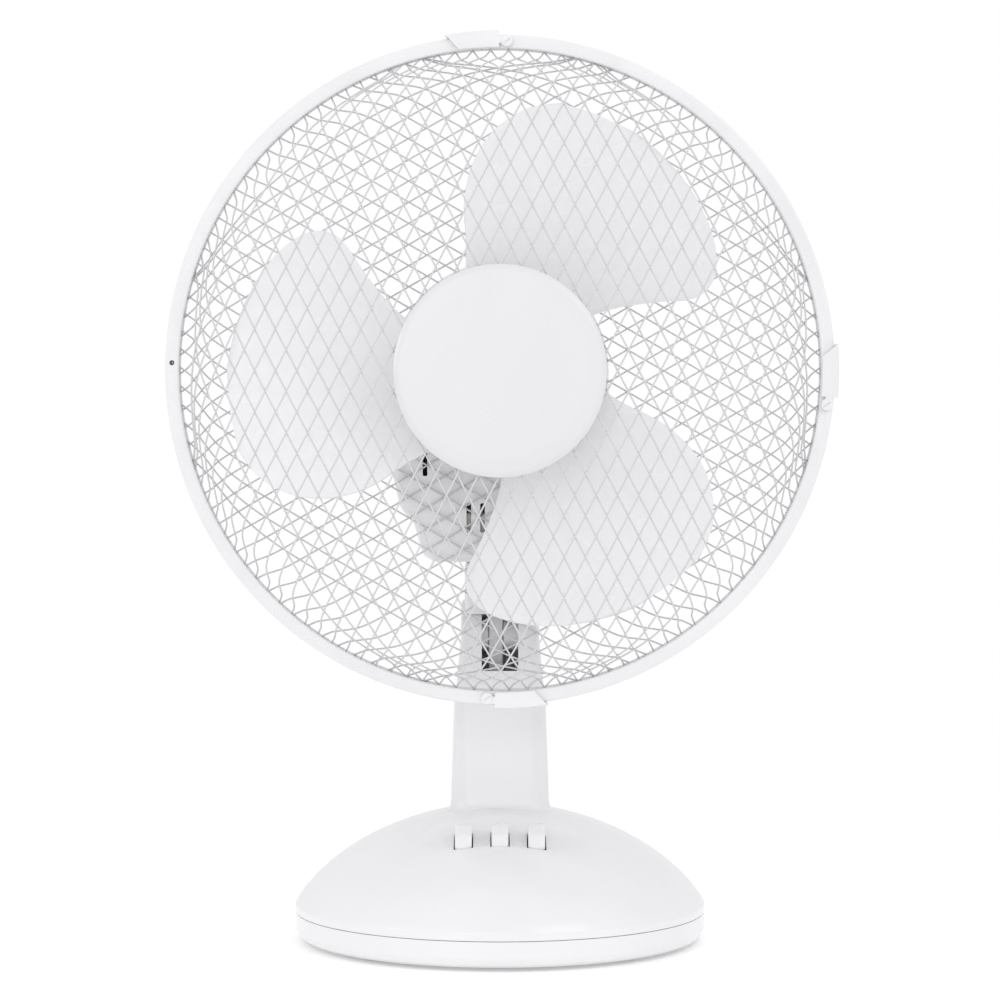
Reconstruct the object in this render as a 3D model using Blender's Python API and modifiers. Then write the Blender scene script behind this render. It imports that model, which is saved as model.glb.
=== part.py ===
"""Desk fan with a 30 cm rotor behind a diamond wire guard, on a tilting and oscillating column.

Metres, +Z up. The origin is on the table, under the centre of the round base, and the fan blows
towards -Y. Everything on the head is placed by its distance forward of the oscillation axis.
"""

import math

import bmesh
import bpy
from mathutils import Matrix, Vector

# Clearances
GAP = 0.0003
RUNNING_GAP = 0.0006
PAST = 0.0020  # how far a cutter runs past the face it cuts

# Base
BASE_RADIUS = 0.1064
DOME_RADIUS = BASE_RADIUS + 0.0056
DOME_FOOT = 0.0055
DOME_RISE = 0.0645
DOME_POWER = 0.64
COVER_WALL = 0.0025
SEAM_HEIGHT = 0.0155
COVER_BAND = 0.0040  # the upright band of the cover above its seam
PAN_FLOOR = 0.0022
PAN_BOTTOM_RADIUS = BASE_RADIUS - 0.0034
PAN_WALL = 0.0024
FOOT_HEIGHT = 0.0017
FOOT_RADIUS = 0.0080
FOOT_CIRCLE = BASE_RADIUS - 0.0224
BASE_SCREW_CIRCLE = BASE_RADIUS - 0.0284
SCREW_BOSS_RADIUS = 0.0042
SCREW_RADIUS = 0.0013
SCREW_HEAD_RADIUS = 0.0032
SCREW_HEAD_HEIGHT = 0.0011

# Column
TILT_HEIGHT = 0.1575
COLUMN_Y = 0.0140
COLUMN_WALL = 0.0032
COLUMN_CORNER = 0.0120
COLUMN_FOOT_HALF = 0.0262
COLUMN_MIDDLE_HALF = 0.0238
COLUMN_MIDDLE_HEIGHT = TILT_HEIGHT - 0.0360
COLUMN_TOP_HALF = 0.0202
FLANGE_HEIGHT = 0.0495
FLANGE_THICKNESS = 0.0030
COLUMN_SCREW_X = COLUMN_FOOT_HALF + 0.0043
FLANGE_HALF_X = COLUMN_SCREW_X + 0.0045
FLANGE_HALF_Y = COLUMN_FOOT_HALF + 0.0038
WINDOW_HALF_WIDTH = 0.0095
WINDOW_BOTTOM = TILT_HEIGHT - 0.0174
WINDOW_TOP = TILT_HEIGHT + 0.0100

# Tilt joint and neck
BARREL_RADIUS = 0.0186
TILT_BOLT_RADIUS = 0.0030
TILT_BOSS_RADIUS = 0.0080
BOLT_HEAD_RADIUS = 0.0055
BOLT_HEAD_LENGTH = 0.0028
TONGUE_LEFT = -0.0060
TONGUE_RIGHT = 0.0015
TONGUE_HALF_DEPTH = 0.0070
TONGUE_DROP = 0.0200
NECK_HALF = 0.0183
NECK_SKIRT_HEIGHT = TILT_HEIGHT + 0.0120
NECK_TOP = TILT_HEIGHT + 0.0387
COLLAR_RADIUS = 0.0120
COLLAR_TOP = NECK_TOP + 0.0238

# Oscillation pivot and linkage
PIVOT_RADIUS = 0.0040
PIVOT_BOSS_RADIUS = 0.0090
WASHER_THICKNESS = 0.0009
PIVOT_BOSS_TOP = COLLAR_TOP + 0.0238
POST_DISTANCE = 0.0093
CRANK_RADIUS = 0.0060
LINK_BOTTOM = PIVOT_BOSS_TOP + 0.0057
LINK_THICKNESS = 0.0030
LINK_WIDTH = 0.0056
POST_RADIUS = 0.0014
CRANK_PIN_RADIUS = 0.0018
POST_EYE_CLEARANCE = 0.0026
POST_EYE_OFFSET = 0.0019  # half of what the eye shifts across the post over the full swing
LINK_EYE_WALL = 0.0016
ARM_THICKNESS = 0.0040

# Head shell
HEAD_BOTTOM = NECK_TOP + 0.0008
HUB_HEIGHT = HEAD_BOTTOM + 0.0985
HEAD_RADIUS = 0.0560
HEAD_WALL = 0.0020
HEAD_FRONT = 0.0322
HEAD_SPLIT = -0.0020
HEAD_BACK = -0.0700
NECK_HOLE_RADIUS = 0.0195
GUARD_BOSS_RADIUS = 0.0220
GUARD_BOSS_LENGTH = 0.0088
VENT_WIDTH = 0.0024
SIDE_VENTS = (-0.0540, -0.0410)  # heights from the hub, as the next two
LOW_VENTS = (-0.0830, -0.0680)
REAR_VENTS = ((0.0120, 0.0210), (-0.0210, -0.0120))

# Motor
SHAFT_RADIUS = 0.0040
STATOR_RADIUS = 0.0390
STATOR_LENGTH = 0.0200
STATOR_CENTRE = 0.0020
YOKE_INNER_RADIUS = 0.0310
POLE_SHOE_RADIUS = 0.0230
BORE_RADIUS = 0.0200
TOOTH_WIDTH = 0.0140
SLOT_OPENING = 0.0030
ROTOR_RADIUS = 0.0194
COIL_INNER = 0.0235
COIL_OUTER = 0.0274
COIL_HALF_WIDTH = 0.0120
COIL_OVERHANG = 0.0052
BELL_THICKNESS = 0.0030
FRONT_BELL = 0.0190
REAR_BELL = -0.0160
BEARING_RADIUS = 0.0100
BEARING_LENGTH = 0.0060
LEG_WIDTH = 0.0180

# Oscillation gearbox
CASE_FRONT = -0.0235
CASE_BACK = -0.0615
CASE_LEFT = -0.0120
CASE_RIGHT = 0.0285
CASE_BOTTOM = HUB_HEIGHT - 0.0340
CASE_TOP = HUB_HEIGHT + 0.0100
CASE_WALL = 0.0016
WHEEL_X = 0.0140
WHEEL_FORWARD = -0.0350
WHEEL_RADIUS = 0.0092
WHEEL_THICKNESS = 0.0080
PINION_RADIUS = 0.0035
GEAR_RADIUS = 0.0105
GEAR_CENTRES = 0.0144
GEAR_BOTTOM = CASE_BOTTOM + 0.0060
GEAR_THICKNESS = 0.0070
SPINDLE_RADIUS = 0.0025
WORM_RADIUS = 0.0044
WORM_LENGTH = 0.0120
TOOTH_DEPTH = 0.0010
KNOB_RADIUS = 0.0070
KNOB_HEIGHT = 0.0150
KNOB_SEAT = HUB_HEIGHT + HEAD_RADIUS + 0.0002

# Rotor in the air stream
BLADE_CENTRE = 0.0760
BLADE_THICKNESS = 0.0020
BLADE_LEAD = 0.0240
HUB_RADIUS = 0.0400
HUB_FRONT = 0.0920
HUB_BACK = 0.0600
HUB_WALL = 0.0024
HUB_BOSS_RADIUS = 0.0090
SPINNER_RADIUS = 0.0130
SPINNER_LENGTH = 0.0100

# Guards and rim
RIM_RADIUS = 0.1675
RIM_INNER_RADIUS = RIM_RADIUS - 0.0069
RIM_CENTRE = 0.0700
RIM_HALF_DEPTH = 0.0070
RIM_PLATE = 0.0030
RIM_WALL = 0.0020
WIRE = 0.0016
RIM_WIRE_RADIUS = RIM_INNER_RADIUS + 0.0012
RIM_NECK = 0.0046
RIM_NECK_DEPTH = 0.0055
FRONT_FACE = 0.1100
REAR_FACE = 0.0335
GUARD_SPOKES = 12
GUARD_PLATE_RADIUS = 0.0380
GUARD_PLATE_THICKNESS = 0.0020
GUARD_NUT_RADIUS = 0.0340
GUARD_NUT_LENGTH = 0.0057
BADGE_RADIUS = 0.0525
BADGE_RISE = 0.0029
BADGE_BOSS_RADIUS = 0.0050
BADGE_SCREW_HEAD = 0.0100

# Clips on the rim
CLIP_HINGE_RADIUS = RIM_RADIUS - 0.0034
CLIP_REACH = 0.0300
CLIP_PLATE = 0.0022
CLIP_WEB = 0.0010
CLIP_KNOB_RADIUS = 0.0031
CLIP_PIN_RADIUS = 0.0010
CLIP_ANGLES = {"clip_top": 88.8, "clip_right": -5.9, "clip_bottom": 267.7}
RIM_SCREW_ANGLE = 178.6

# Switch and keys
KEY_Y = -0.0500
KEY_PITCH = 0.0185
KEY_WIDTH = 0.0095
KEY_LENGTH = 0.0210
KEY_TOP = 0.0665
KEY_BOTTOM = 0.0540
KEY_STEM = 0.0060
KEY_TRAVEL = 0.0045
SWITCH_HALF_WIDTH = 0.0285
KEY_SLOT_MARGIN = 0.0012
SWITCH_TOP = 0.0480
SWITCH_HEIGHT = 0.0200
SWITCH_WALL = 0.0020
LATCH_TRAVEL = 0.0015
GLAND_RADIUS = 0.0050
GLAND_HEIGHT = 0.0235

# Levels and places that follow from the sizes above
PAN_BOTTOM = FOOT_HEIGHT + GAP
PIVOT_BOSS_BOTTOM = COLLAR_TOP + WASHER_THICKNESS + 2 * GAP
ARM_BOTTOM = PIVOT_BOSS_TOP + GAP
WORM_FORWARD = WHEEL_FORWARD
CRANK_X = POST_DISTANCE
CRANK_FORWARD = WHEEL_FORWARD - math.sqrt(GEAR_CENTRES**2 - (WHEEL_X - CRANK_X) ** 2)
UP = (0, 0, 0)
FORWARD = (math.pi / 2, 0, 0)


# Scene, materials and modelling helpers


def clear_scene():
    for obj in list(bpy.data.objects):
        bpy.data.objects.remove(obj, do_unlink=True)


def new_collection(name):
    collection = bpy.data.collections.new(name)
    bpy.context.scene.collection.children.link(collection)
    return collection


def new_material(name, color, roughness, metallic=0.0):
    material = bpy.data.materials.new(name)
    material.use_nodes = True
    shader = material.node_tree.nodes["Principled BSDF"]
    shader.inputs["Base Color"].default_value = (*color, 1.0)
    shader.inputs["Roughness"].default_value = roughness
    shader.inputs["Metallic"].default_value = metallic
    material.diffuse_color = (*color, 1.0)
    return material


clear_scene()
PARTS = new_collection("desk_fan")
CUTTERS = new_collection("cutters")

HOUSING = new_material("housing_white", (0.80, 0.80, 0.81), 0.35)
GUARD = new_material("guard_white", (0.78, 0.78, 0.79), 0.35)
BLADE = new_material("blade_white", (0.74, 0.75, 0.78), 0.30)
SWITCH = new_material("switch_black", (0.03, 0.03, 0.03), 0.50)
RUBBER = new_material("foot_rubber", (0.05, 0.05, 0.05), 0.90)
STEEL = new_material("bright_steel", (0.55, 0.55, 0.56), 0.30, 1.0)
COPPER = new_material("copper_wire", (0.60, 0.25, 0.10), 0.40, 1.0)
LAMINATION = new_material("lamination_steel", (0.30, 0.30, 0.31), 0.55, 1.0)
ALUMINIUM = new_material("cast_aluminium", (0.60, 0.61, 0.62), 0.45, 1.0)
BRONZE = new_material("bearing_bronze", (0.45, 0.30, 0.13), 0.40, 1.0)
NYLON = new_material("gear_nylon", (0.82, 0.80, 0.72), 0.45)
CAPACITOR = new_material("capacitor_case", (0.72, 0.72, 0.68), 0.40)


def spot(x=0.0, forward=0.0, height=HUB_HEIGHT):
    """A point on the head: across, forward of the oscillation axis, and up from the table."""
    return Vector((x, COLUMN_Y - forward, height))


def hang(obj, axis):
    """Parents an object to a joint's empty and leaves it where it is."""
    obj.parent = axis
    obj.matrix_parent_inverse = Matrix.Translation(-Vector(axis["place"]))


def new_axis(name, place, parent=None):
    """An empty on a joint's axis, which carries the pieces that turn or slide there."""
    empty = bpy.data.objects.new(name, None)
    empty.empty_display_size = 0.01
    empty.location = place
    empty["place"] = tuple(place)
    PARTS.objects.link(empty)
    if parent:
        hang(empty, parent)
    return empty


def new_piece(name, mesh, material=None, axis=None, place=(0, 0, 0), turn=UP):
    """A sub-part with a material, or a cutter without one."""
    obj = bpy.data.objects.new(name, mesh)
    obj.location = place
    obj.rotation_euler = turn
    if material is None:
        CUTTERS.objects.link(obj)
        obj.hide_render = True
        obj.display_type = "WIRE"
        return obj
    PARTS.objects.link(obj)
    mesh.materials.append(material)
    mesh.shade_smooth()
    mesh.set_sharp_from_angle(angle=math.radians(35))
    if axis:
        hang(obj, axis)
    return obj


def mesh_from(bm, name):
    mesh = bpy.data.meshes.new(name)
    bm.to_mesh(mesh)
    bm.free()
    return mesh


def box(name, low, high, **options):
    """A block between two corners, in world directions."""
    low, high = Vector(low), Vector(high)
    size = Vector([abs(high[i] - low[i]) for i in range(3)])
    bm = bmesh.new()
    bmesh.ops.create_cube(bm, size=1.0)
    bmesh.ops.scale(bm, vec=size, verts=bm.verts)
    return new_piece(name, mesh_from(bm, name), place=(low + high) / 2, **options)


def rod(name, radius, start, length, turn=UP, sides=20, **options):
    """A cylinder that starts at a point and runs along +Z, or along the turned +Z."""
    bm = bmesh.new()
    shift = Matrix.Translation((0, 0, length / 2))
    bmesh.ops.create_cone(
        bm, cap_ends=True, segments=sides, radius1=radius, radius2=radius, depth=length, matrix=shift
    )
    return new_piece(name, mesh_from(bm, name), place=start, turn=turn, **options)


def turned(name, profile, place=(0, 0, 0), turn=UP, steps=28, closed=True, **options):
    """A solid of revolution. The profile of (radius, height) runs down its outer side."""
    bm = bmesh.new()
    verts = [bm.verts.new((radius, 0, height)) for radius, height in profile]
    for first, second in zip(verts, verts[1:]):
        bm.edges.new((first, second))
    if closed:
        bm.edges.new((verts[-1], verts[0]))
    obj = new_piece(name, mesh_from(bm, name), place=place, turn=turn, **options)
    screw = obj.modifiers.new("turn", "SCREW")
    screw.steps = steps
    screw.render_steps = steps
    screw.use_merge_vertices = True
    screw.merge_threshold = 0.00001
    screw.use_smooth_shade = True
    return obj


def tube(name, outer, inner, start, length, turn=UP, steps=28, **options):
    """A ring or a bush."""
    profile = [(outer, length), (outer, 0), (inner, 0), (inner, length)]
    return turned(name, profile, place=start, turn=turn, steps=steps, **options)


def loft(name, rings, capped=True, **options):
    """A skin through rings with the same number of points, from first to last."""
    bm = bmesh.new()
    rows = [[bm.verts.new(point) for point in ring] for ring in rings]
    count = len(rows[0])
    for low, high in zip(rows, rows[1:]):
        for i in range(count):
            j = (i + 1) % count
            bm.faces.new((low[i], low[j], high[j], high[i]))
    bm.faces.new(list(reversed(rows[0])))
    if capped:
        bm.faces.new(rows[-1])
    bmesh.ops.recalc_face_normals(bm, faces=bm.faces)
    return new_piece(name, mesh_from(bm, name), **options)


def round_square(half_x, half_y, corner, height, centre_y=COLUMN_Y, per_corner=4):
    """A rounded rectangle at a height, as points counter-clockwise from above."""
    points = []
    for quarter in range(4):
        sign_x = 1 if quarter in (0, 3) else -1
        sign_y = 1 if quarter in (0, 1) else -1
        for step in range(per_corner):
            angle = math.pi / 2 * (quarter + step / (per_corner - 1))
            x = sign_x * (half_x - corner) + corner * math.cos(angle)
            y = sign_y * (half_y - corner) + corner * math.sin(angle)
            points.append((x, centre_y + y, height))
    return points


def boolean(obj, operation, *others):
    for other in others:
        modifier = obj.modifiers.new(other.name, "BOOLEAN")
        modifier.operation = operation
        modifier.object = other
    return obj


def cut(obj, *cutters):
    return boolean(obj, "DIFFERENCE", *cutters)


def join(obj, *additions):
    return boolean(obj, "UNION", *additions)


def solidify(obj, thickness):
    """Gives an open skin a wall on its inner side."""
    modifier = obj.modifiers.new("wall", "SOLIDIFY")
    modifier.thickness = thickness
    modifier.offset = -1
    return modifier


def polar(radius, degrees):
    angle = math.radians(degrees)
    return radius * math.cos(angle), radius * math.sin(angle)


# Base


def dome_height(radius):
    """The height of the base cover's outer face at a distance from its centre."""
    return DOME_FOOT + DOME_RISE * (1 - (radius / DOME_RADIUS) ** 2) ** DOME_POWER


def dome_radii():
    """The distances from the centre at which the dome's sections have their points."""
    steps = 6
    last = BASE_RADIUS - 0.0018
    return [last * math.sin(math.pi / 2 * i / steps) for i in range(steps + 1)]


def dome_inside(clearance=0.0):
    """The cover's inner face from its centre out, or a face that clears it."""
    scale = 1 - COVER_WALL / BASE_RADIUS
    drop = COVER_WALL + clearance
    return [(radius * scale, dome_height(radius) - drop) for radius in dome_radii()[:-1]]


def dome_profile():
    """The cover's section: its outer face down to the seam, then its inner face back up."""
    bottom = SEAM_HEIGHT + 2 * GAP
    outer = [(radius, dome_height(radius)) for radius in dome_radii()]
    edge = [(BASE_RADIUS, SEAM_HEIGHT + COVER_BAND), (BASE_RADIUS, bottom), (BASE_RADIUS - COVER_WALL, bottom)]
    return outer + edge + dome_inside()[::-1]


def base_screw_places():
    return [polar(BASE_SCREW_CIRCLE, angle) for angle in (90, 210, 330)]


def build_base_cover():
    """The domed cover, with the key slots, the column's collar and the screw bosses."""
    cover = turned("base_cover", dome_profile(), steps=30, closed=False, material=HOUSING)

    bosses = []
    boss_top = dome_height(BASE_SCREW_CIRCLE + SCREW_BOSS_RADIUS) - COVER_WALL / 2
    boss_bottom = PAN_BOTTOM + PAN_FLOOR + GAP
    for i, (x, y) in enumerate(base_screw_places()):
        bosses.append(
            rod(f"cover_boss_{i}", SCREW_BOSS_RADIUS, (x, y, boss_bottom), boss_top - boss_bottom, sides=12)
        )
    collar_bottom = FLANGE_HEIGHT + FLANGE_THICKNESS + GAP
    collar_top = dome_height(COLUMN_Y + COLUMN_FOOT_HALF + COVER_WALL) - COVER_WALL / 2
    collar_half = COLUMN_FOOT_HALF + 2 * GAP + COVER_WALL
    collar = loft(
        "cover_collar",
        [
            round_square(collar_half, collar_half, COLUMN_CORNER, collar_bottom),
            round_square(collar_half, collar_half, COLUMN_CORNER, collar_top),
        ],
    )
    for side in (-1, 1):
        start = (side * COLUMN_SCREW_X, COLUMN_Y, collar_bottom)
        top = dome_height(COLUMN_SCREW_X + COLUMN_Y) - COVER_WALL / 2
        bosses.append(rod(f"collar_boss_{side}", SCREW_BOSS_RADIUS, start, top - collar_bottom, sides=12))
    join(cover, collar, *bosses)

    opening_half = COLUMN_FOOT_HALF + 2 * GAP
    opening = loft(
        "column_opening",
        [
            round_square(opening_half, opening_half, COLUMN_CORNER, collar_bottom - 0.002),
            round_square(opening_half, opening_half, COLUMN_CORNER, dome_height(0) + 2 * PAST),
        ],
    )
    slot_x, slot_y = KEY_WIDTH / 2 + KEY_SLOT_MARGIN, KEY_LENGTH / 2 + KEY_SLOT_MARGIN
    slots = [
        box(
            f"{name}_way",
            (x - slot_x, KEY_Y - slot_y, SWITCH_TOP - 0.002),
            (x + slot_x, KEY_Y + slot_y, dome_height(0) + 2 * PAST),
        )
        for name, x in key_places().items()
    ]
    cuts = [opening, *slots]
    for i, (x, y) in enumerate(base_screw_places()):
        cuts.append(rod(f"cover_pilot_{i}", SCREW_RADIUS + GAP, (x, y, 0), boss_bottom + 0.012, sides=12))
    for side in (-1, 1):
        start = (side * COLUMN_SCREW_X, COLUMN_Y, collar_bottom - 0.002)
        cuts.append(rod(f"collar_pilot_{side}", SCREW_RADIUS + GAP, start, 0.008, sides=12))
    cuts.append(rod("gland_hole", GLAND_RADIUS + GAP, (0, BASE_RADIUS + 0.01, GLAND_HEIGHT), 0.03, FORWARD))
    return cut(cover, *cuts)


def build_bottom_plate():
    top = PAN_BOTTOM + PAN_FLOOR
    plate = turned(
        "base_bottom_plate",
        [
            (0, PAN_BOTTOM + PAN_FLOOR),
            (PAN_BOTTOM_RADIUS - PAN_WALL, top),
            (BASE_RADIUS - PAN_WALL, SEAM_HEIGHT),
            (BASE_RADIUS, SEAM_HEIGHT),
            (BASE_RADIUS - 0.0003, PAN_BOTTOM + 0.0060),
            (BASE_RADIUS - 0.0012, PAN_BOTTOM + 0.0028),
            (PAN_BOTTOM_RADIUS + 0.0004, PAN_BOTTOM + 0.0006),
            (PAN_BOTTOM_RADIUS - 0.0012, PAN_BOTTOM),
            (0, PAN_BOTTOM),
        ],
        steps=32,
        closed=False,
        material=HOUSING,
    )
    for i, (x, y) in enumerate(base_screw_places()):
        cut(plate, rod(f"plate_hole_{i}", SCREW_RADIUS + GAP, (x, y, 0), 0.01, sides=12))
    return plate


def screw(name, place, length, head_radius=SCREW_HEAD_RADIUS, radius=SCREW_RADIUS, **options):
    """A pan-head screw along Z, or along the turned Z: the head's seat is at its place."""
    profile = [
        (0, length),
        (radius * 0.5, length),
        (radius, length - radius),
        (radius, 0),
        (head_radius, 0),
        (head_radius * 0.85, -SCREW_HEAD_HEIGHT),
        (0, -SCREW_HEAD_HEIGHT),
    ]
    return turned(name, profile, place=place, steps=12, closed=False, material=STEEL, **options)


def build_base_fasteners():
    for i, (x, y) in enumerate(base_screw_places()):
        screw(f"base_screw_{i + 1}", (x, y, PAN_BOTTOM - GAP), PAN_FLOOR + 0.010)
    for name, side in (("column_screw_left", -1), ("column_screw_right", 1)):
        screw(name, (side * COLUMN_SCREW_X, COLUMN_Y, FLANGE_HEIGHT - GAP), FLANGE_THICKNESS + 0.005)
    for across, x_sign in (("left", -1), ("right", 1)):
        for along, y_sign in (("front", -1), ("rear", 1)):
            side = FOOT_CIRCLE * math.sqrt(0.5)
            rod(
                f"foot_{along}_{across}",
                FOOT_RADIUS,
                (x_sign * side, y_sign * side, 0),
                FOOT_HEIGHT,
                sides=20,
                material=RUBBER,
            )


def build_gland():
    """The bush in the cover's rear wall where the mains lead goes in."""
    outer_end = BASE_RADIUS - 0.0004
    length = 0.0125
    start = (0, outer_end, GLAND_HEIGHT)
    tube("cord_gland", GLAND_RADIUS, GLAND_RADIUS * 0.55, start, length, FORWARD, steps=16, material=RUBBER)


# Switch


def key_places():
    return {"key_off": -KEY_PITCH, "key_low": 0.0, "key_high": KEY_PITCH}


def build_switch():
    """The switch block, with a slot for each key's stem, and its latch bar."""
    bottom = SWITCH_TOP - SWITCH_HEIGHT
    half = KEY_LENGTH / 2
    block = box(
        "switch_block",
        (-SWITCH_HALF_WIDTH, KEY_Y - half, bottom),
        (SWITCH_HALF_WIDTH, KEY_Y + half, SWITCH_TOP),
        material=SWITCH,
    )
    inside = box(
        "switch_inside",
        (-SWITCH_HALF_WIDTH + SWITCH_WALL, KEY_Y - half + SWITCH_WALL, bottom - 0.002),
        (SWITCH_HALF_WIDTH - SWITCH_WALL, KEY_Y + half - SWITCH_WALL, SWITCH_TOP - SWITCH_WALL),
    )
    cut(block, inside)
    stem = KEY_STEM / 2 + RUNNING_GAP
    for name, x in key_places().items():
        low = (x - stem, KEY_Y - stem, SWITCH_TOP - 2 * SWITCH_WALL)
        cut(block, box(f"{name}_slot", low, (x + stem, KEY_Y + stem, SWITCH_TOP + 0.002)))

    latch_top = SWITCH_TOP - SWITCH_WALL - 0.0075
    reach = SWITCH_HALF_WIDTH - SWITCH_WALL - LATCH_TRAVEL - GAP
    latch = box(
        "switch_latch",
        (-reach, KEY_Y - 0.0055, latch_top - 0.0020),
        (reach, KEY_Y + 0.0055, latch_top),
        material=STEEL,
        axis=new_axis("latch_slide", (0, KEY_Y, latch_top)),
    )
    room = KEY_STEM / 2 + LATCH_TRAVEL + GAP
    for name, x in key_places().items():
        low = (x - room, KEY_Y - KEY_STEM / 2 - GAP, latch_top - 0.004)
        cut(latch, box(f"{name}_latch_slot", low, (x + room, KEY_Y + KEY_STEM / 2 + GAP, latch_top + 0.002)))


def build_key(name, x):
    """A piano key with a rounded top, on a stem that slides down into the switch."""
    half = KEY_LENGTH / 2
    crest = KEY_TOP - KEY_BOTTOM
    side_view = [(-half, 0), (half, 0)]
    side_view += [(half, crest * 0.55), (half * 0.72, crest * 0.90), (half * 0.30, crest)]
    side_view += [(-half * 0.10, crest * 0.94), (-half * 0.60, crest * 0.62), (-half, crest * 0.18)]
    rings = []
    for across, scale in ((-0.5, 0.86), (-0.36, 1.0), (0.36, 1.0), (0.5, 0.86)):
        ring = []
        for y, z in side_view:
            ring.append((x + across * KEY_WIDTH, KEY_Y + y, KEY_BOTTOM + z * scale))
        rings.append(ring)
    axis = new_axis(f"{name}_slide", (x, KEY_Y, KEY_BOTTOM))
    key = loft(name, rings, material=HOUSING, axis=axis)
    stem = KEY_STEM / 2
    stem_bottom = SWITCH_TOP - SWITCH_HEIGHT + KEY_TRAVEL + 0.002
    join(
        key,
        box(
            f"{name}_stem", (x - stem, KEY_Y - stem, stem_bottom), (x + stem, KEY_Y + stem, KEY_BOTTOM + 0.002)
        ),
    )


# Column and tilt joint


def column_half(height):
    """Half the column's width at a height: a slight taper, then a quicker one to the tilt joint."""
    if height < COLUMN_MIDDLE_HEIGHT:
        share = (height - FLANGE_HEIGHT) / (COLUMN_MIDDLE_HEIGHT - FLANGE_HEIGHT)
        return COLUMN_FOOT_HALF + (COLUMN_MIDDLE_HALF - COLUMN_FOOT_HALF) * share
    share = (height - COLUMN_MIDDLE_HEIGHT) / (TILT_HEIGHT - COLUMN_MIDDLE_HEIGHT)
    return COLUMN_MIDDLE_HALF + (COLUMN_TOP_HALF - COLUMN_MIDDLE_HALF) * share


def across_rod(name, radius, start_x, end_x, sides=18, **options):
    """A cylinder on the tilt axis."""
    turn = (0, math.pi / 2, 0)
    return rod(name, radius, (start_x, COLUMN_Y, TILT_HEIGHT), end_x - start_x, turn, sides, **options)


def build_column():
    """The hollow post: its top is a barrel about the tilt axis, slotted for the neck's tongue."""
    levels = [FLANGE_HEIGHT, COLUMN_MIDDLE_HEIGHT, TILT_HEIGHT]
    depth_scale = BARREL_RADIUS / COLUMN_TOP_HALF

    def section(height, inset=0.0):
        half = column_half(height) - inset
        share = (height - FLANGE_HEIGHT) / (TILT_HEIGHT - FLANGE_HEIGHT)
        deep = (column_half(height)) * (1 + (depth_scale - 1) * share) - inset
        return round_square(half, deep, COLUMN_CORNER * (1 - 0.65 * share) - inset * 0.3, height)

    column = loft("column", [section(height) for height in levels], material=HOUSING)
    flange = box(
        "column_flange",
        (-FLANGE_HALF_X, COLUMN_Y - FLANGE_HALF_Y, FLANGE_HEIGHT),
        (FLANGE_HALF_X, COLUMN_Y + FLANGE_HALF_Y, FLANGE_HEIGHT + FLANGE_THICKNESS),
    )
    under_dome = dome_inside(RUNNING_GAP)
    under_dome += [(under_dome[-1][0], 0), (0, 0)]
    boolean(flange, "INTERSECT", turned("flange_room", under_dome, steps=30, closed=False))
    barrel = across_rod("column_barrel", BARREL_RADIUS, -COLUMN_TOP_HALF, COLUMN_TOP_HALF, sides=22)
    bevel = barrel.modifiers.new("round", "BEVEL")
    bevel.width = 0.0022
    bevel.segments = 1
    bevel.limit_method = "ANGLE"
    bevel.angle_limit = math.radians(60)
    join(column, flange, barrel)

    inside_top = TILT_HEIGHT - BARREL_RADIUS / 2
    inside = loft(
        "column_inside",
        [
            [(x, y, FLANGE_HEIGHT - 0.001) for x, y, _ in section(FLANGE_HEIGHT, COLUMN_WALL)],
            section(COLUMN_MIDDLE_HEIGHT, COLUMN_WALL),
            section(inside_top, COLUMN_WALL),
        ],
    )
    slot = box(
        "tongue_slot",
        (-WINDOW_HALF_WIDTH, COLUMN_Y - 2 * TONGUE_HALF_DEPTH, inside_top - 0.004),
        (WINDOW_HALF_WIDTH, COLUMN_Y + 2 * TONGUE_HALF_DEPTH, TILT_HEIGHT + 2 * BARREL_RADIUS),
    )
    window = box(
        "front_window",
        (-WINDOW_HALF_WIDTH, COLUMN_Y - 2 * BARREL_RADIUS, WINDOW_BOTTOM),
        (WINDOW_HALF_WIDTH, COLUMN_Y - TONGUE_HALF_DEPTH, WINDOW_TOP),
    )
    cut(column, inside, slot, window)

    wall_x = COLUMN_TOP_HALF - BOLT_HEAD_LENGTH
    join(
        column,
        across_rod("tilt_boss_left", TILT_BOSS_RADIUS, -wall_x, TONGUE_LEFT - GAP),
        across_rod("tilt_boss_right", TILT_BOSS_RADIUS, TONGUE_RIGHT + GAP, wall_x),
    )
    recess = COLUMN_TOP_HALF + 0.002
    cut(
        column,
        across_rod("bolt_bore", TILT_BOLT_RADIUS + GAP, -recess, recess),
        across_rod("bolt_recess_left", BOLT_HEAD_RADIUS + GAP, -recess, -wall_x + GAP),
        across_rod("bolt_recess_right", BOLT_HEAD_RADIUS + GAP, wall_x - GAP, recess),
    )
    for side in (-1, 1):
        start = (side * COLUMN_SCREW_X, COLUMN_Y, FLANGE_HEIGHT - 0.002)
        cut(column, rod(f"flange_hole_{side}", SCREW_RADIUS + GAP, start, FLANGE_THICKNESS + 0.004, sides=12))


def build_tilt_bolt():
    """The bolt through the column and the tongue, with its nut, both sunk in the column's sides."""
    seat = COLUMN_TOP_HALF - BOLT_HEAD_LENGTH
    bolt = across_rod("tilt_bolt", TILT_BOLT_RADIUS, -seat, seat, sides=20, material=STEEL)
    join(bolt, across_rod("bolt_head", BOLT_HEAD_RADIUS, -seat - BOLT_HEAD_LENGTH + GAP, -seat, sides=20))
    nut = across_rod(
        "tilt_nut", BOLT_HEAD_RADIUS, seat, seat + BOLT_HEAD_LENGTH - GAP, sides=6, material=STEEL
    )
    cut(nut, across_rod("nut_bore", TILT_BOLT_RADIUS + GAP, seat - 0.001, seat + 0.010, sides=20))


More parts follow.
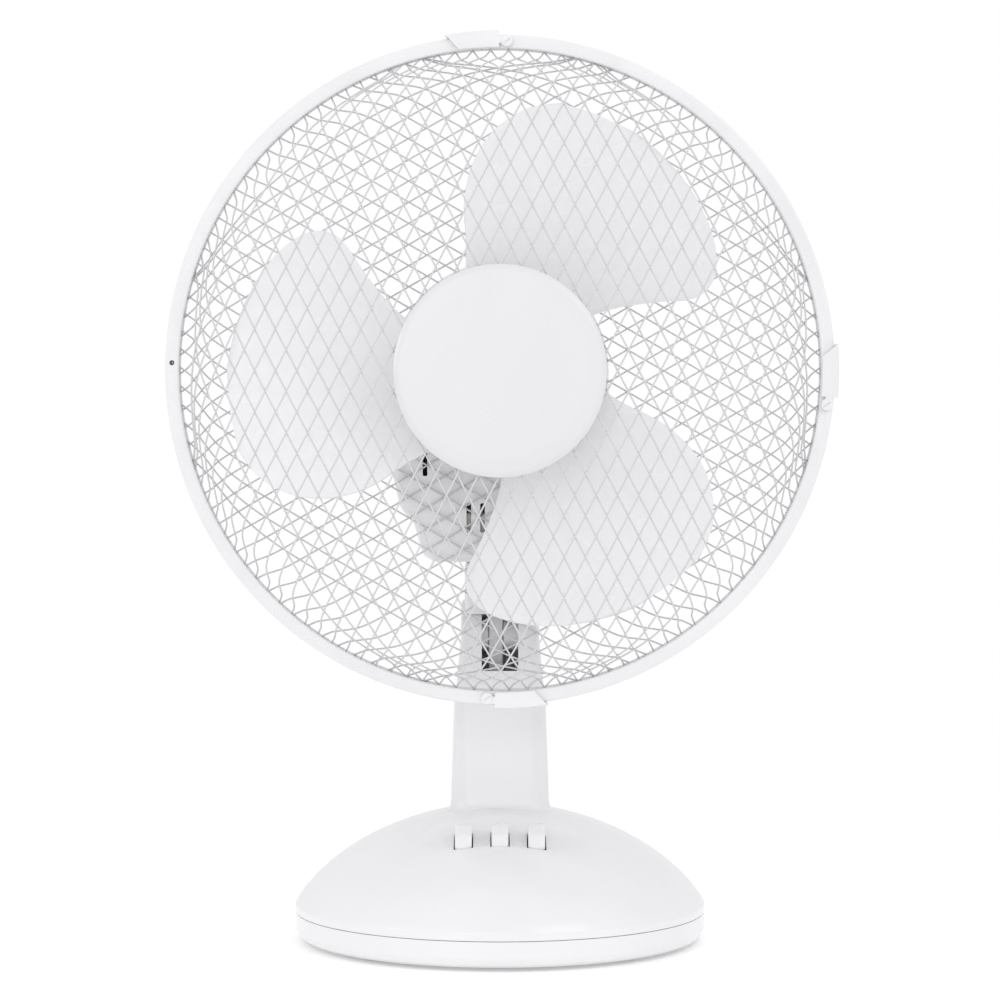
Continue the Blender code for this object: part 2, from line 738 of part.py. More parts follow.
def build_neck(axis):
    """The saddle on the column's barrel, with the tongue below it and the pivot collar above it."""
    skirt = round_square(NECK_HALF, NECK_HALF, 0.006, NECK_SKIRT_HEIGHT)
    top = round_square(NECK_HALF, NECK_HALF, 0.006, NECK_TOP)
    neck = loft("tilt_neck", [skirt, top], material=HOUSING, axis=axis)
    reach = 2 * NECK_HALF
    cut(neck, across_rod("barrel_room", BARREL_RADIUS + 2 * RUNNING_GAP, -reach, reach, sides=22))
    tongue = box(
        "tongue",
        (TONGUE_LEFT, COLUMN_Y - TONGUE_HALF_DEPTH, TILT_HEIGHT - TONGUE_DROP),
        (TONGUE_RIGHT, COLUMN_Y + TONGUE_HALF_DEPTH, NECK_TOP - 0.004),
    )
    collar = rod("collar", COLLAR_RADIUS, (0, COLUMN_Y, NECK_TOP - 0.002), COLLAR_TOP - NECK_TOP + 0.002)
    join(neck, tongue, collar)
    shaft_bottom = NECK_TOP - 4 * PIVOT_RADIUS
    cut(
        neck,
        rod("pivot_bore", PIVOT_RADIUS + GAP, (0, COLUMN_Y, shaft_bottom), 0.06),
        across_rod("tongue_bore", TILT_BOLT_RADIUS + GAP, -reach, reach),
    )
    shaft_top = ARM_BOTTOM + ARM_THICKNESS + 0.0008
    rod(
        "oscillation_shaft",
        PIVOT_RADIUS,
        (0, COLUMN_Y, shaft_bottom + GAP),
        shaft_top - shaft_bottom - GAP,
        sides=20,
        material=STEEL,
        axis=axis,
    )
    washer_place = (0, COLUMN_Y, COLLAR_TOP + GAP)
    tube(
        "thrust_washer",
        COLLAR_RADIUS - 0.0005,
        PIVOT_RADIUS + GAP,
        washer_place,
        WASHER_THICKNESS,
        steps=24,
        material=BRONZE,
        axis=axis,
    )
    build_pivot_arm(axis)


def build_pivot_arm(axis):
    """The arm on top of the pivot shaft, whose post takes the linkage."""
    hub_radius = PIVOT_RADIUS + 0.0035
    arm = rod("pivot_arm", hub_radius, (0, COLUMN_Y, ARM_BOTTOM), ARM_THICKNESS, material=STEEL, axis=axis)
    end = (POST_DISTANCE, COLUMN_Y, ARM_BOTTOM)
    boss = rod("arm_end", LINK_WIDTH / 2, end, ARM_THICKNESS, sides=16)
    web = box(
        "arm_web",
        (hub_radius * 0.6, COLUMN_Y - LINK_WIDTH * 0.4, ARM_BOTTOM),
        (POST_DISTANCE, COLUMN_Y + LINK_WIDTH * 0.4, ARM_BOTTOM + ARM_THICKNESS),
    )
    post_height = LINK_BOTTOM + LINK_THICKNESS + 0.0004 - ARM_BOTTOM
    post = rod("arm_post", POST_RADIUS, end, post_height, sides=16)
    join(arm, boss, web, post)
    cut(arm, rod("arm_bore", PIVOT_RADIUS + GAP, (0, COLUMN_Y, ARM_BOTTOM - 0.002), 0.02))


# Head shell


def head_outline(scale, forward):
    """The motor housing's outline: round above the hub, drawn in to a flat foot below it."""
    steps = 14
    points = [polar(HEAD_RADIUS, 180 * i / steps) for i in range(steps + 1)]
    depth = HUB_HEIGHT - HEAD_BOTTOM
    lower = [(-1.0, 0.50), (-0.92, 0.715), (-0.79, 0.80), (-0.71, 0.965), (-0.66, 1.0)]
    points += [(x * HEAD_RADIUS, -z * depth) for x, z in lower]
    points += [(-x * HEAD_RADIUS, -z * depth) for x, z in reversed(lower)]
    return [spot(x * scale, forward, HUB_HEIGHT + z * scale) for x, z in points]


def build_front_housing(axis):
    """The front half of the motor housing, with the threaded boss that carries the rear guard."""
    edge = 0.0060
    rings = [
        head_outline(0.93, HEAD_FRONT),
        head_outline(0.975, HEAD_FRONT - edge * 0.3),
        head_outline(1.0, HEAD_FRONT - edge),
        head_outline(1.0, HEAD_SPLIT + GAP),
    ]
    shell = loft("motor_front_housing", rings, capped=False, material=HOUSING, axis=axis)
    solidify(shell, HEAD_WALL)
    boss_start = HEAD_FRONT - HEAD_WALL / 2
    join(
        shell,
        rod(
            "guard_boss", GUARD_BOSS_RADIUS, spot(0, boss_start), GUARD_BOSS_LENGTH + HEAD_WALL / 2, FORWARD, 28
        ),
    )
    bore_start = spot(0, HEAD_FRONT - 2 * HEAD_WALL)
    cuts = [
        rod("boss_bore", GUARD_BOSS_RADIUS - 0.003, bore_start, 0.03, FORWARD, 24),
        rod("neck_hole_front", NECK_HOLE_RADIUS, (0, COLUMN_Y, HEAD_BOTTOM - 0.005), 0.012, sides=28),
    ]
    for i, x in enumerate((-0.0385, -0.0160, -0.0090, 0.0090, 0.0160, 0.0385)):
        low, high = SIDE_VENTS if abs(x) > STATOR_RADIUS - 0.009 else LOW_VENTS
        cuts.append(
            box(
                f"front_vent_{i}",
                spot(x - VENT_WIDTH / 2, HEAD_FRONT + 0.003, HUB_HEIGHT + low),
                spot(x + VENT_WIDTH / 2, HEAD_FRONT - 0.006, HUB_HEIGHT + high),
            )
        )
    cut(shell, *cuts)


def build_rear_cover(axis):
    """The rounded rear half of the housing, with vents and the hole for the oscillation knob."""
    straight = -(NECK_HOLE_RADIUS + 0.0035)
    depth = straight - HEAD_BACK
    rings = [head_outline(1.0, HEAD_SPLIT - GAP), head_outline(1.0, straight)]
    for share, scale in ((0.45, 0.94), (0.80, 0.76), (1.0, 0.46)):
        rings.append(head_outline(scale, straight - share * depth))
    rings.reverse()
    shell = loft("motor_rear_cover", rings, capped=False, material=HOUSING, axis=axis)
    solidify(shell, HEAD_WALL)
    cuts = [
        rod("neck_hole_rear", NECK_HOLE_RADIUS, (0, COLUMN_Y, HEAD_BOTTOM - 0.005), 0.012, sides=28),
        rod("knob_hole", SPINDLE_RADIUS + RUNNING_GAP, spot(WHEEL_X, WHEEL_FORWARD, KNOB_SEAT - 0.0212), 0.03),
        rod("cover_screw_hole", SCREW_RADIUS + GAP, spot(0, HEAD_BACK - 0.004), 0.012, FORWARD, 12),
    ]
    for i, x in enumerate((-0.015, 0.0, 0.015)):
        for level, (low, high) in enumerate(REAR_VENTS):
            cuts.append(
                box(
                    f"rear_vent_{level}_{i}",
                    spot(x - VENT_WIDTH / 2, HEAD_BACK + 0.004, HUB_HEIGHT + low),
                    spot(x + VENT_WIDTH / 2, HEAD_BACK - 0.004, HUB_HEIGHT + high),
                )
            )
    cut(shell, *cuts)
    screw(
        "rear_cover_screw", spot(0, HEAD_BACK - GAP), 0.0075, turn=FORWARD, axis=axis
    )


# Motor


def stator_slot_outline():
    """The stator's inner outline: four pole shoes, with a winding slot between each two."""
    half = TOOTH_WIDTH / 2
    opening = math.degrees(SLOT_OPENING / 2 / BORE_RADIUS)
    shoe_tooth = math.degrees(math.asin(half / POLE_SHOE_RADIUS))
    yoke_tooth = math.degrees(math.asin(half / YOKE_INNER_RADIUS))
    half_pole = [(BORE_RADIUS, 0), (BORE_RADIUS, 22), (BORE_RADIUS, 45 - opening)]
    half_pole += [(POLE_SHOE_RADIUS, 45 - opening), (POLE_SHOE_RADIUS, shoe_tooth)]
    half_pole += [(YOKE_INNER_RADIUS, yoke_tooth), (YOKE_INNER_RADIUS, 28)]
    points = []
    for pole in range(4):
        points += [polar(radius, 90 * pole + angle) for radius, angle in half_pole]
        points.append(polar(YOKE_INNER_RADIUS, 90 * pole + 45))
        points += [polar(radius, 90 * pole + 90 - angle) for radius, angle in half_pole[:0:-1]]
    return points


def build_stator(axis):
    """The laminated stator with four poles, and the coil on each."""
    data = bpy.data.curves.new("stator_core", "CURVE")
    data.dimensions = "2D"
    data.fill_mode = "BOTH"
    data.extrude = STATOR_LENGTH / 2
    sides = 28
    rim = [polar(STATOR_RADIUS, 360 * i / sides) for i in range(sides)]
    for outline in (rim, stator_slot_outline()):
        spline = data.splines.new("POLY")
        spline.points.add(len(outline) - 1)
        for point, (x, y) in zip(spline.points, outline):
            point.co = (x, y, 0, 1)
        spline.use_cyclic_u = True
    data.materials.append(LAMINATION)
    stator = bpy.data.objects.new("stator_core", data)
    stator.location = spot(0, STATOR_CENTRE)
    stator.rotation_euler = FORWARD
    PARTS.objects.link(stator)
    hang(stator, axis)
    for number in range(4):
        build_coil(number, axis)


def build_coil(number, axis):
    """A flat rectangular coil round one pole."""
    outer = (COIL_OUTER - COIL_INNER, 2 * COIL_HALF_WIDTH, STATOR_LENGTH + 2 * COIL_OVERHANG)
    inner = (COIL_OUTER, TOOTH_WIDTH + 2 * GAP, STATOR_LENGTH + 2 * GAP)
    turn = Matrix.Rotation(math.radians(90 * number), 4, "Z")
    shift = Matrix.Translation(((COIL_INNER + COIL_OUTER) / 2, 0, 0))
    blocks = []
    for size in (outer, inner):
        bm = bmesh.new()
        bmesh.ops.create_cube(bm, size=1.0)
        bmesh.ops.scale(bm, vec=size, verts=bm.verts)
        bmesh.ops.transform(bm, matrix=turn @ shift, verts=bm.verts)
        blocks.append(mesh_from(bm, "coil"))
    place = spot(0, STATOR_CENTRE)
    coil = new_piece(f"stator_coil_{number + 1}", blocks[0], COPPER, axis, place, FORWARD)
    cut(coil, new_piece(f"coil_window_{number}", blocks[1], place=place, turn=FORWARD))


def build_bells(axis):
    """The two end bells. The rear one is the frame that stands on the oscillation pivot."""
    bearing_hole = BEARING_RADIUS + GAP
    tube(
        "front_end_bell",
        STATOR_RADIUS,
        bearing_hole,
        spot(0, FRONT_BELL),
        BELL_THICKNESS,
        FORWARD,
        material=ALUMINIUM,
        axis=axis,
    )
    rear_start = REAR_BELL - BELL_THICKNESS
    frame = tube(
        "motor_frame",
        STATOR_RADIUS,
        bearing_hole,
        spot(0, rear_start),
        BELL_THICKNESS,
        FORWARD,
        material=ALUMINIUM,
        axis=axis,
    )
    leg_right = -0.0010
    leg = box(
        "frame_leg",
        spot(leg_right - LEG_WIDTH, rear_start, PIVOT_BOSS_BOTTOM),
        spot(leg_right, REAR_BELL, HUB_HEIGHT - STATOR_RADIUS + 0.006),
    )
    web = box(
        "frame_web",
        spot(leg_right - LEG_WIDTH, rear_start, PIVOT_BOSS_BOTTOM),
        spot(leg_right + PIVOT_BOSS_RADIUS, 0, PIVOT_BOSS_TOP),
    )
    height = PIVOT_BOSS_TOP - PIVOT_BOSS_BOTTOM
    boss = rod("pivot_boss", PIVOT_BOSS_RADIUS, spot(0, 0, PIVOT_BOSS_BOTTOM), height)
    join(frame, leg, web, boss)
    cut(frame, rod("boss_pivot_bore", PIVOT_RADIUS + GAP, spot(0, 0, PIVOT_BOSS_BOTTOM - 0.002), height + 0.004))

    for name, start in (("front_bearing", FRONT_BELL - 0.0015), ("rear_bearing", rear_start - 0.0015)):
        tube(
            name,
            BEARING_RADIUS,
            SHAFT_RADIUS + GAP,
            spot(0, start),
            BEARING_LENGTH,
            FORWARD,
            steps=24,
            material=BRONZE,
            axis=axis,
        )


def build_capacitor(axis):
    bottom = HEAD_BOTTOM + HEAD_WALL + 0.0015
    front = HEAD_FRONT - HEAD_WALL - 0.0015
    case = box(
        "run_capacitor",
        spot(-0.020, front, bottom),
        spot(0.020, front - 0.0140, bottom + 0.0220),
        material=CAPACITOR,
        axis=axis,
    )
    bevel = case.modifiers.new("round", "BEVEL")
    bevel.width = 0.0015
    bevel.segments = 2


def build_shaft(axis):
    """The motor shaft, from inside the spinner to the worm that drives the oscillation."""
    front = HUB_FRONT + SPINNER_LENGTH * 0.55
    worm_front = WORM_FORWARD + WORM_LENGTH / 2
    worm_back = WORM_FORWARD - WORM_LENGTH / 2
    profile = [(0, front), (SHAFT_RADIUS * 0.8, front), (SHAFT_RADIUS, front - 0.001)]
    profile.append((SHAFT_RADIUS, worm_front + 0.0004))
    threads = 5
    pitch = WORM_LENGTH / threads
    for i in range(threads):
        top = worm_front - i * pitch
        profile += [(WORM_RADIUS - TOOTH_DEPTH, top), (WORM_RADIUS, top - pitch * 0.35)]
        profile.append((WORM_RADIUS, top - pitch * 0.65))
    profile += [(WORM_RADIUS - TOOTH_DEPTH, worm_back), (SHAFT_RADIUS * 0.7, worm_back - 0.0004)]
    profile += [(SHAFT_RADIUS * 0.7, worm_back - 0.005), (0, worm_back - 0.005)]
    turned("motor_shaft", profile, spot(), FORWARD, steps=12, closed=False, material=STEEL, axis=axis)
    tube(
        "rotor_core",
        ROTOR_RADIUS,
        SHAFT_RADIUS + GAP,
        spot(0, STATOR_CENTRE - STATOR_LENGTH / 2),
        STATOR_LENGTH,
        FORWARD,
        material=ALUMINIUM,
        axis=axis,
    )


# Oscillation gearbox


def build_case(axis):
    """The gearbox case, open at the top, and its lid."""
    low = spot(CASE_LEFT, CASE_BACK, CASE_BOTTOM)
    high = spot(CASE_RIGHT, CASE_FRONT, CASE_TOP)
    case = box("gearbox_case", low, high, material=ALUMINIUM, axis=axis)
    wall = Vector((CASE_WALL, -CASE_WALL, CASE_WALL))
    inside_low = low + wall
    inside_high = high - Vector((CASE_WALL, -CASE_WALL, -0.002))
    cut(
        case,
        box("case_inside", inside_low, inside_high),
        rod("case_shaft_hole", SHAFT_RADIUS + RUNNING_GAP, spot(0, CASE_FRONT - 0.004), 0.008, FORWARD),
        rod("crank_hole", SPINDLE_RADIUS + 0.0010, spot(CRANK_X, CRANK_FORWARD, CASE_BOTTOM - 0.002), 0.01),
    )
    lid = box(
        "gearbox_lid",
        spot(CASE_LEFT, CASE_BACK, CASE_TOP + GAP),
        spot(CASE_RIGHT, CASE_FRONT, CASE_TOP + 0.0024),
        material=ALUMINIUM,
        axis=axis,
    )
    cut(lid, rod("lid_hole", SPINDLE_RADIUS + RUNNING_GAP, spot(WHEEL_X, WHEEL_FORWARD, CASE_TOP - 0.002), 0.01))


def gear(name, radius, teeth, place, thickness, **options):
    """A toothed wheel: a rod whose rim goes in and out between the teeth."""
    bm = bmesh.new()
    shift = Matrix.Translation((0, 0, thickness / 2))
    bmesh.ops.create_cone(
        bm, cap_ends=True, segments=4 * teeth, radius1=radius, radius2=radius, depth=thickness, matrix=shift
    )
    root = (radius - TOOTH_DEPTH) / radius
    for vert in bm.verts:
        share = math.atan2(vert.co.y, vert.co.x) / (2 * math.pi) * teeth % 1.0
        if share > 0.45 and share < 0.95:
            vert.co.x *= root
            vert.co.y *= root
    return new_piece(name, mesh_from(bm, name), place=place, **options)


def build_worm_wheel(axis):
    """The wheel that the worm drives, on one spindle with the pinion under it."""
    wheel_bottom = HUB_HEIGHT - WHEEL_THICKNESS / 2
    wheel_place = spot(WHEEL_X, WHEEL_FORWARD, wheel_bottom)
    wheel = gear("worm_wheel", WHEEL_RADIUS, 12, wheel_place, WHEEL_THICKNESS, material=NYLON, axis=axis)
    spindle_bottom = CASE_BOTTOM + CASE_WALL + GAP
    spindle_top = wheel_bottom + WHEEL_THICKNESS + 0.0025
    pinion_place = spot(WHEEL_X, WHEEL_FORWARD, GEAR_BOTTOM - 0.0005)
    join(
        wheel,
        rod(
            "wheel_spindle",
            SPINDLE_RADIUS,
            spot(WHEEL_X, WHEEL_FORWARD, spindle_bottom),
            spindle_top - spindle_bottom,
            sides=16,
        ),
        gear("pinion", PINION_RADIUS, 6, pinion_place, GEAR_THICKNESS + 0.0010),
    )


def build_crank(axis):
    """The output gear, whose shaft comes down through the case to the crank disc and pin."""
    place = spot(CRANK_X, CRANK_FORWARD, GEAR_BOTTOM)
    crank = gear("crank_gear", GEAR_RADIUS, 12, place, GEAR_THICKNESS, material=NYLON, axis=axis)
    disc_top = CASE_BOTTOM - 0.0015
    disc_bottom = LINK_BOTTOM + LINK_THICKNESS + RUNNING_GAP
    shaft = rod(
        "crank_shaft",
        SPINDLE_RADIUS + 0.0006,
        spot(CRANK_X, CRANK_FORWARD, disc_bottom),
        GEAR_BOTTOM + 0.002 - disc_bottom,
        sides=16,
    )
    disc = rod(
        "crank_disc",
        CRANK_RADIUS + 0.0030,
        spot(CRANK_X, CRANK_FORWARD, disc_bottom),
        disc_top - disc_bottom,
        sides=20,
    )
    pin_bottom = LINK_BOTTOM - 0.0003
    pin = rod(
        "crank_pin",
        CRANK_PIN_RADIUS,
        spot(CRANK_X + CRANK_RADIUS, CRANK_FORWARD, pin_bottom),
        disc_bottom + 0.001 - pin_bottom,
        sides=16,
    )
    join(crank, shaft, disc, pin)


def build_link(axis):
    """The link from the crank pin to the post on the pivot arm, with a wide eye at the post."""
    crank_end = spot(CRANK_X + CRANK_RADIUS, CRANK_FORWARD, LINK_BOTTOM)
    post_end = spot(POST_DISTANCE + POST_EYE_OFFSET, 0, LINK_BOTTOM)
    eye_radius = POST_RADIUS + POST_EYE_CLEARANCE
    run = post_end - crank_end
    angle = math.atan2(run.y, run.x)
    bm = bmesh.new()
    bmesh.ops.create_cube(bm, size=1.0)
    bmesh.ops.scale(bm, vec=(run.length - eye_radius, LINK_WIDTH, LINK_THICKNESS), verts=bm.verts)
    shift = Matrix.Translation(((run.length - eye_radius) / 2, 0, LINK_THICKNESS / 2))
    bmesh.ops.transform(bm, matrix=Matrix.Rotation(angle, 4, "Z") @ shift, verts=bm.verts)
    link = new_piece("link_arm", mesh_from(bm, "link_arm"), STEEL, axis, crank_end)
    join(
        link,
        rod("link_crank_end", CRANK_PIN_RADIUS + GAP + LINK_EYE_WALL, crank_end, LINK_THICKNESS, sides=20),
        rod("link_post_end", eye_radius + LINK_EYE_WALL, post_end, LINK_THICKNESS, sides=20),
    )
    below = Vector((0, 0, -PAST))
    depth = LINK_THICKNESS + 2 * PAST
    cut(
        link,
        rod("link_crank_eye", CRANK_PIN_RADIUS + GAP, crank_end + below, depth, sides=20),
        rod("link_post_eye", eye_radius, post_end + below, depth, sides=20),
    )


def build_knob(axis):
    """The pull-up knob on the clutch pin that engages the oscillation."""
    pin_bottom = HUB_HEIGHT + WHEEL_THICKNESS / 2 + 0.0032 - KNOB_SEAT
    radius = KNOB_RADIUS
    profile = [
        (0, KNOB_HEIGHT),
        (radius * 0.75, KNOB_HEIGHT),
        (radius, KNOB_HEIGHT - 0.0015),
        (radius, KNOB_HEIGHT - 0.0040),
        (radius * 0.8, KNOB_HEIGHT - 0.0060),
        (radius * 0.8, 0),
        (SPINDLE_RADIUS, 0),
        (SPINDLE_RADIUS, pin_bottom),
        (0, pin_bottom),
    ]
    place = spot(WHEEL_X, WHEEL_FORWARD, KNOB_SEAT)
    turned("oscillation_knob", profile, place, steps=16, closed=False, material=HOUSING, axis=axis)


# Blades


def blade_outline(radius):
    """The blade's leading and trailing angles, in degrees, at a radius."""
    lead = [(0.038, 34), (0.060, 30), (0.085, 24), (0.105, 20.5), (0.118, 24), (0.126, 32), (0.132, 46)]
    trail = [(0.038, 116), (0.060, 106), (0.085, 102), (0.105, 97), (0.118, 92), (0.126, 87), (0.132, 81)]
    angles = []
    for edge in (lead, trail):
        for (low_r, low_a), (high_r, high_a) in zip(edge, edge[1:]):
            if radius <= high_r or high_r == edge[-1][0]:
                share = (radius - low_r) / (high_r - low_r)
                angles.append(low_a + (high_a - low_a) * share)
                break
    return angles


def blade_mesh(start_angle):
    """One blade as a thin helical sheet, before it gets its thickness."""
    radii = [0.0385, 0.060, 0.085, 0.105, 0.118, 0.126, 0.132, 0.1365]
    columns = 5
    middle = 66.0
    bm = bmesh.new()
    rows = []
    for radius in radii:
        lead, trail = blade_outline(min(radius, 0.132)) if radius < 0.134 else (58.0, 78.0)
        row = []
        for i in range(columns + 1):
            share = i / columns
            angle = lead + (trail - lead) * share
            forward = BLADE_LEAD * math.radians(angle - middle)
            x, z = polar(radius, angle + start_angle)
            row.append(bm.verts.new((x, z, forward)))
        rows.append(row)
    for low, high in zip(rows, rows[1:]):
        for i in range(columns):
            bm.faces.new((low[i], low[i + 1], high[i + 1], high[i]))
    return mesh_from(bm, "blade")


def build_blades(axis):
    """The moulded rotor: a cup-shaped hub with a boss for the shaft, and three broad blades."""
    inner = HUB_RADIUS - HUB_WALL
    profile = [
        (SHAFT_RADIUS + GAP, HUB_FRONT),
        (HUB_RADIUS * 0.70, HUB_FRONT),
        (HUB_RADIUS * 0.93, HUB_FRONT - 0.0035),
        (HUB_RADIUS, HUB_FRONT - 0.0090),
        (HUB_RADIUS, HUB_BACK),
        (inner, HUB_BACK),
        (inner, HUB_FRONT - 0.0100),
        (inner * 0.93, HUB_FRONT - 0.0058),
        (inner * 0.70, HUB_FRONT - HUB_WALL),
        (HUB_BOSS_RADIUS, HUB_FRONT - HUB_WALL),
        (HUB_BOSS_RADIUS, HUB_BACK + 0.002),
        (SHAFT_RADIUS + GAP, HUB_BACK + 0.002),
    ]
    rotor = turned("fan_blade", profile, spot(), FORWARD, steps=27, material=BLADE, axis=axis)
    for number in range(3):
        blade = new_piece(
            f"blade_{number}", blade_mesh(120 * number), place=spot(0, BLADE_CENTRE), turn=FORWARD
        )
        wall = solidify(blade, BLADE_THICKNESS)
        wall.offset = 0
        join(rotor, blade)
    return rotor


def build_spinner(axis):
    """The cap nut that holds the rotor on the shaft."""
    length = SPINNER_LENGTH
    depth = length * 0.6
    profile = [
        (0, length),
        (SPINNER_RADIUS * 0.6, length * 0.92),
        (SPINNER_RADIUS * 0.95, length * 0.55),
        (SPINNER_RADIUS, 0),
        (SHAFT_RADIUS + GAP, 0),
        (SHAFT_RADIUS + GAP, depth),
        (0, depth),
    ]
    place = spot(0, HUB_FRONT + GAP)
    turned("spinner_nut", profile, place, FORWARD, steps=24, closed=False, material=HOUSING, axis=axis)


# Guards


def guard_lattice(name, rings, **options):
    """An open lattice of diamonds through rings of (radius, forward), with a ring at each end."""
    bm = bmesh.new()
    rows = []
    for number, (radius, forward) in enumerate(rings):
        row = []
        for i in range(GUARD_SPOKES):
            x, z = polar(radius, 360 * (i + 0.5 * (number % 2)) / GUARD_SPOKES)
            row.append(bm.verts.new((x, z, forward)))
        rows.append(row)

    def vert(number, i):
        return rows[number][i % GUARD_SPOKES]

    last = len(rows) - 1
    for i in range(GUARD_SPOKES):
        for number in range(1, last):
            side = i + number % 2
            bm.faces.new((vert(number, i), vert(number - 1, side), vert(number, i + 1), vert(number + 1, side)))
        bm.faces.new((vert(0, i), vert(0, i + 1), vert(1, i)))
        side = i + last % 2
        bm.faces.new((vert(last, i), vert(last - 1, side), vert(last, i + 1)))
    bmesh.ops.recalc_face_normals(bm, faces=bm.faces)
    obj = new_piece(name, mesh_from(bm, name), place=spot(), turn=FORWARD, **options)
    wire = obj.modifiers.new("wire", "WIREFRAME")
    wire.thickness = WIRE
    wire.use_boundary = True
    wire.use_even_offset = True
    wire.use_replace = True
    return obj


def build_rear_guard(axis):
    rim = RIM_CENTRE - GAP - WIRE
    rings = [
        (GUARD_PLATE_RADIUS - 0.0010, REAR_FACE),
        (0.078, REAR_FACE),
        (RIM_INNER_RADIUS - 0.0426, REAR_FACE + 0.0008),
        (RIM_INNER_RADIUS - 0.0146, REAR_FACE + 0.0100),
        (RIM_INNER_RADIUS - RIM_NECK, RIM_CENTRE - RIM_NECK_DEPTH),
        (RIM_WIRE_RADIUS, rim),
    ]
    guard = guard_lattice("rear_guard", rings, material=GUARD, axis=axis)
    plate = tube(
        "guard_plate",
        GUARD_PLATE_RADIUS,
        GUARD_BOSS_RADIUS + GAP,
        spot(0, REAR_FACE - GUARD_PLATE_THICKNESS / 2),
        GUARD_PLATE_THICKNESS,
        FORWARD,
        steps=32,
    )
    join(guard, plate)
    nut_start = REAR_FACE + GUARD_PLATE_THICKNESS / 2 + GAP
    nut = tube(
        "guard_nut",
        GUARD_NUT_RADIUS,
        GUARD_BOSS_RADIUS + GAP,
        spot(0, nut_start),
        GUARD_NUT_LENGTH,
        FORWARD,
        material=HOUSING,
        axis=axis,
    )
    for i in range(6):
        x, z = polar(GUARD_NUT_RADIUS + 0.001, 60 * i)
        cut(nut, rod(f"nut_grip_{i}", 0.003, spot(x, nut_start - 0.002, HUB_HEIGHT + z), 0.012, FORWARD, 12))


def build_front_guard(axis):
    rim = RIM_CENTRE + GAP + WIRE
    rings = [
        (0.008, FRONT_FACE),
        (0.046, FRONT_FACE),
        (0.088, FRONT_FACE - 0.0002),
        (RIM_INNER_RADIUS - 0.0346, FRONT_FACE - 0.0030),
        (RIM_INNER_RADIUS - 0.0106, FRONT_FACE - 0.0140),
        (RIM_INNER_RADIUS - RIM_NECK, RIM_CENTRE + RIM_NECK_DEPTH),
        (RIM_WIRE_RADIUS, rim),
    ]
    guard_lattice("front_guard", rings, material=GUARD, axis=axis)


def build_badge(axis):
    """The plain round badge over the middle of the front guard, and the screw behind it."""
    back = FRONT_FACE + WIRE / 2 + GAP
    boss_depth = WIRE + 2 * GAP
    pilot = SCREW_RADIUS + GAP
    profile = [
        (0, BADGE_RISE),
        (BADGE_RADIUS * 0.80, BADGE_RISE * 0.84),
        (BADGE_RADIUS * 0.96, BADGE_RISE * 0.52),
        (BADGE_RADIUS, BADGE_RISE * 0.15),
        (BADGE_RADIUS - 0.0006, 0),
        (BADGE_BOSS_RADIUS, 0),
        (BADGE_BOSS_RADIUS, -boss_depth),
        (pilot, -boss_depth),
        (pilot, BADGE_RISE * 0.3),
        (0, BADGE_RISE * 0.3),
    ]
    turned("badge_disc", profile, spot(0, back), FORWARD, steps=32, closed=False, material=HOUSING, axis=axis)
    seat = FRONT_FACE - WIRE / 2 - 2 * GAP
    screw("badge_screw", spot(0, seat), WIRE + 2 * GAP, turn=FORWARD, head_radius=BADGE_SCREW_HEAD, axis=axis)


# Rim and clips


def rim_spot(radius, degrees, forward):
    x, z = polar(radius, degrees)
    return spot(x, forward, HUB_HEIGHT + z)


def build_rims(axis):
    """The two rim rings, which hold the guards' outer wires between them."""
    outer, inner = RIM_RADIUS, RIM_INNER_RADIUS
    wall = outer - RIM_WALL
    depth = RIM_HALF_DEPTH - GAP / 2
    floor = depth - RIM_PLATE
    front = [(inner, depth), (outer, depth), (outer, 0), (wall, 0), (wall, floor), (inner, floor)]
    rear = [(radius, -height) for radius, height in reversed(front)]
    rims = [
        turned(
            "front_rim", front, spot(0, RIM_CENTRE + GAP / 2), FORWARD, steps=36, material=GUARD, axis=axis
        ),
        turned("rear_rim", rear, spot(0, RIM_CENTRE - GAP / 2), FORWARD, steps=36, material=GUARD, axis=axis),
    ]
    start = RIM_CENTRE - RIM_HALF_DEPTH - 0.002
    length = 2 * RIM_HALF_DEPTH + 0.004
    radius = CLIP_PIN_RADIUS + GAP
    holes = []
    for name, degrees in [*CLIP_ANGLES.items(), ("rim_screw", RIM_SCREW_ANGLE)]:
        place = rim_spot(CLIP_HINGE_RADIUS, degrees, start)
        holes.append(rod(f"{name}_hole", radius, place, length, FORWARD, 12))
    for rim in rims:
        cut(rim, *holes)
    back = rim_spot(CLIP_HINGE_RADIUS, RIM_SCREW_ANGLE, RIM_CENTRE - RIM_HALF_DEPTH - GAP)
    screw(
        "rim_screw",
        back,
        2 * RIM_HALF_DEPTH - RIM_PLATE * 0.6,
        head_radius=0.0028,
        radius=CLIP_PIN_RADIUS,
        turn=FORWARD,
        axis=axis,
    )


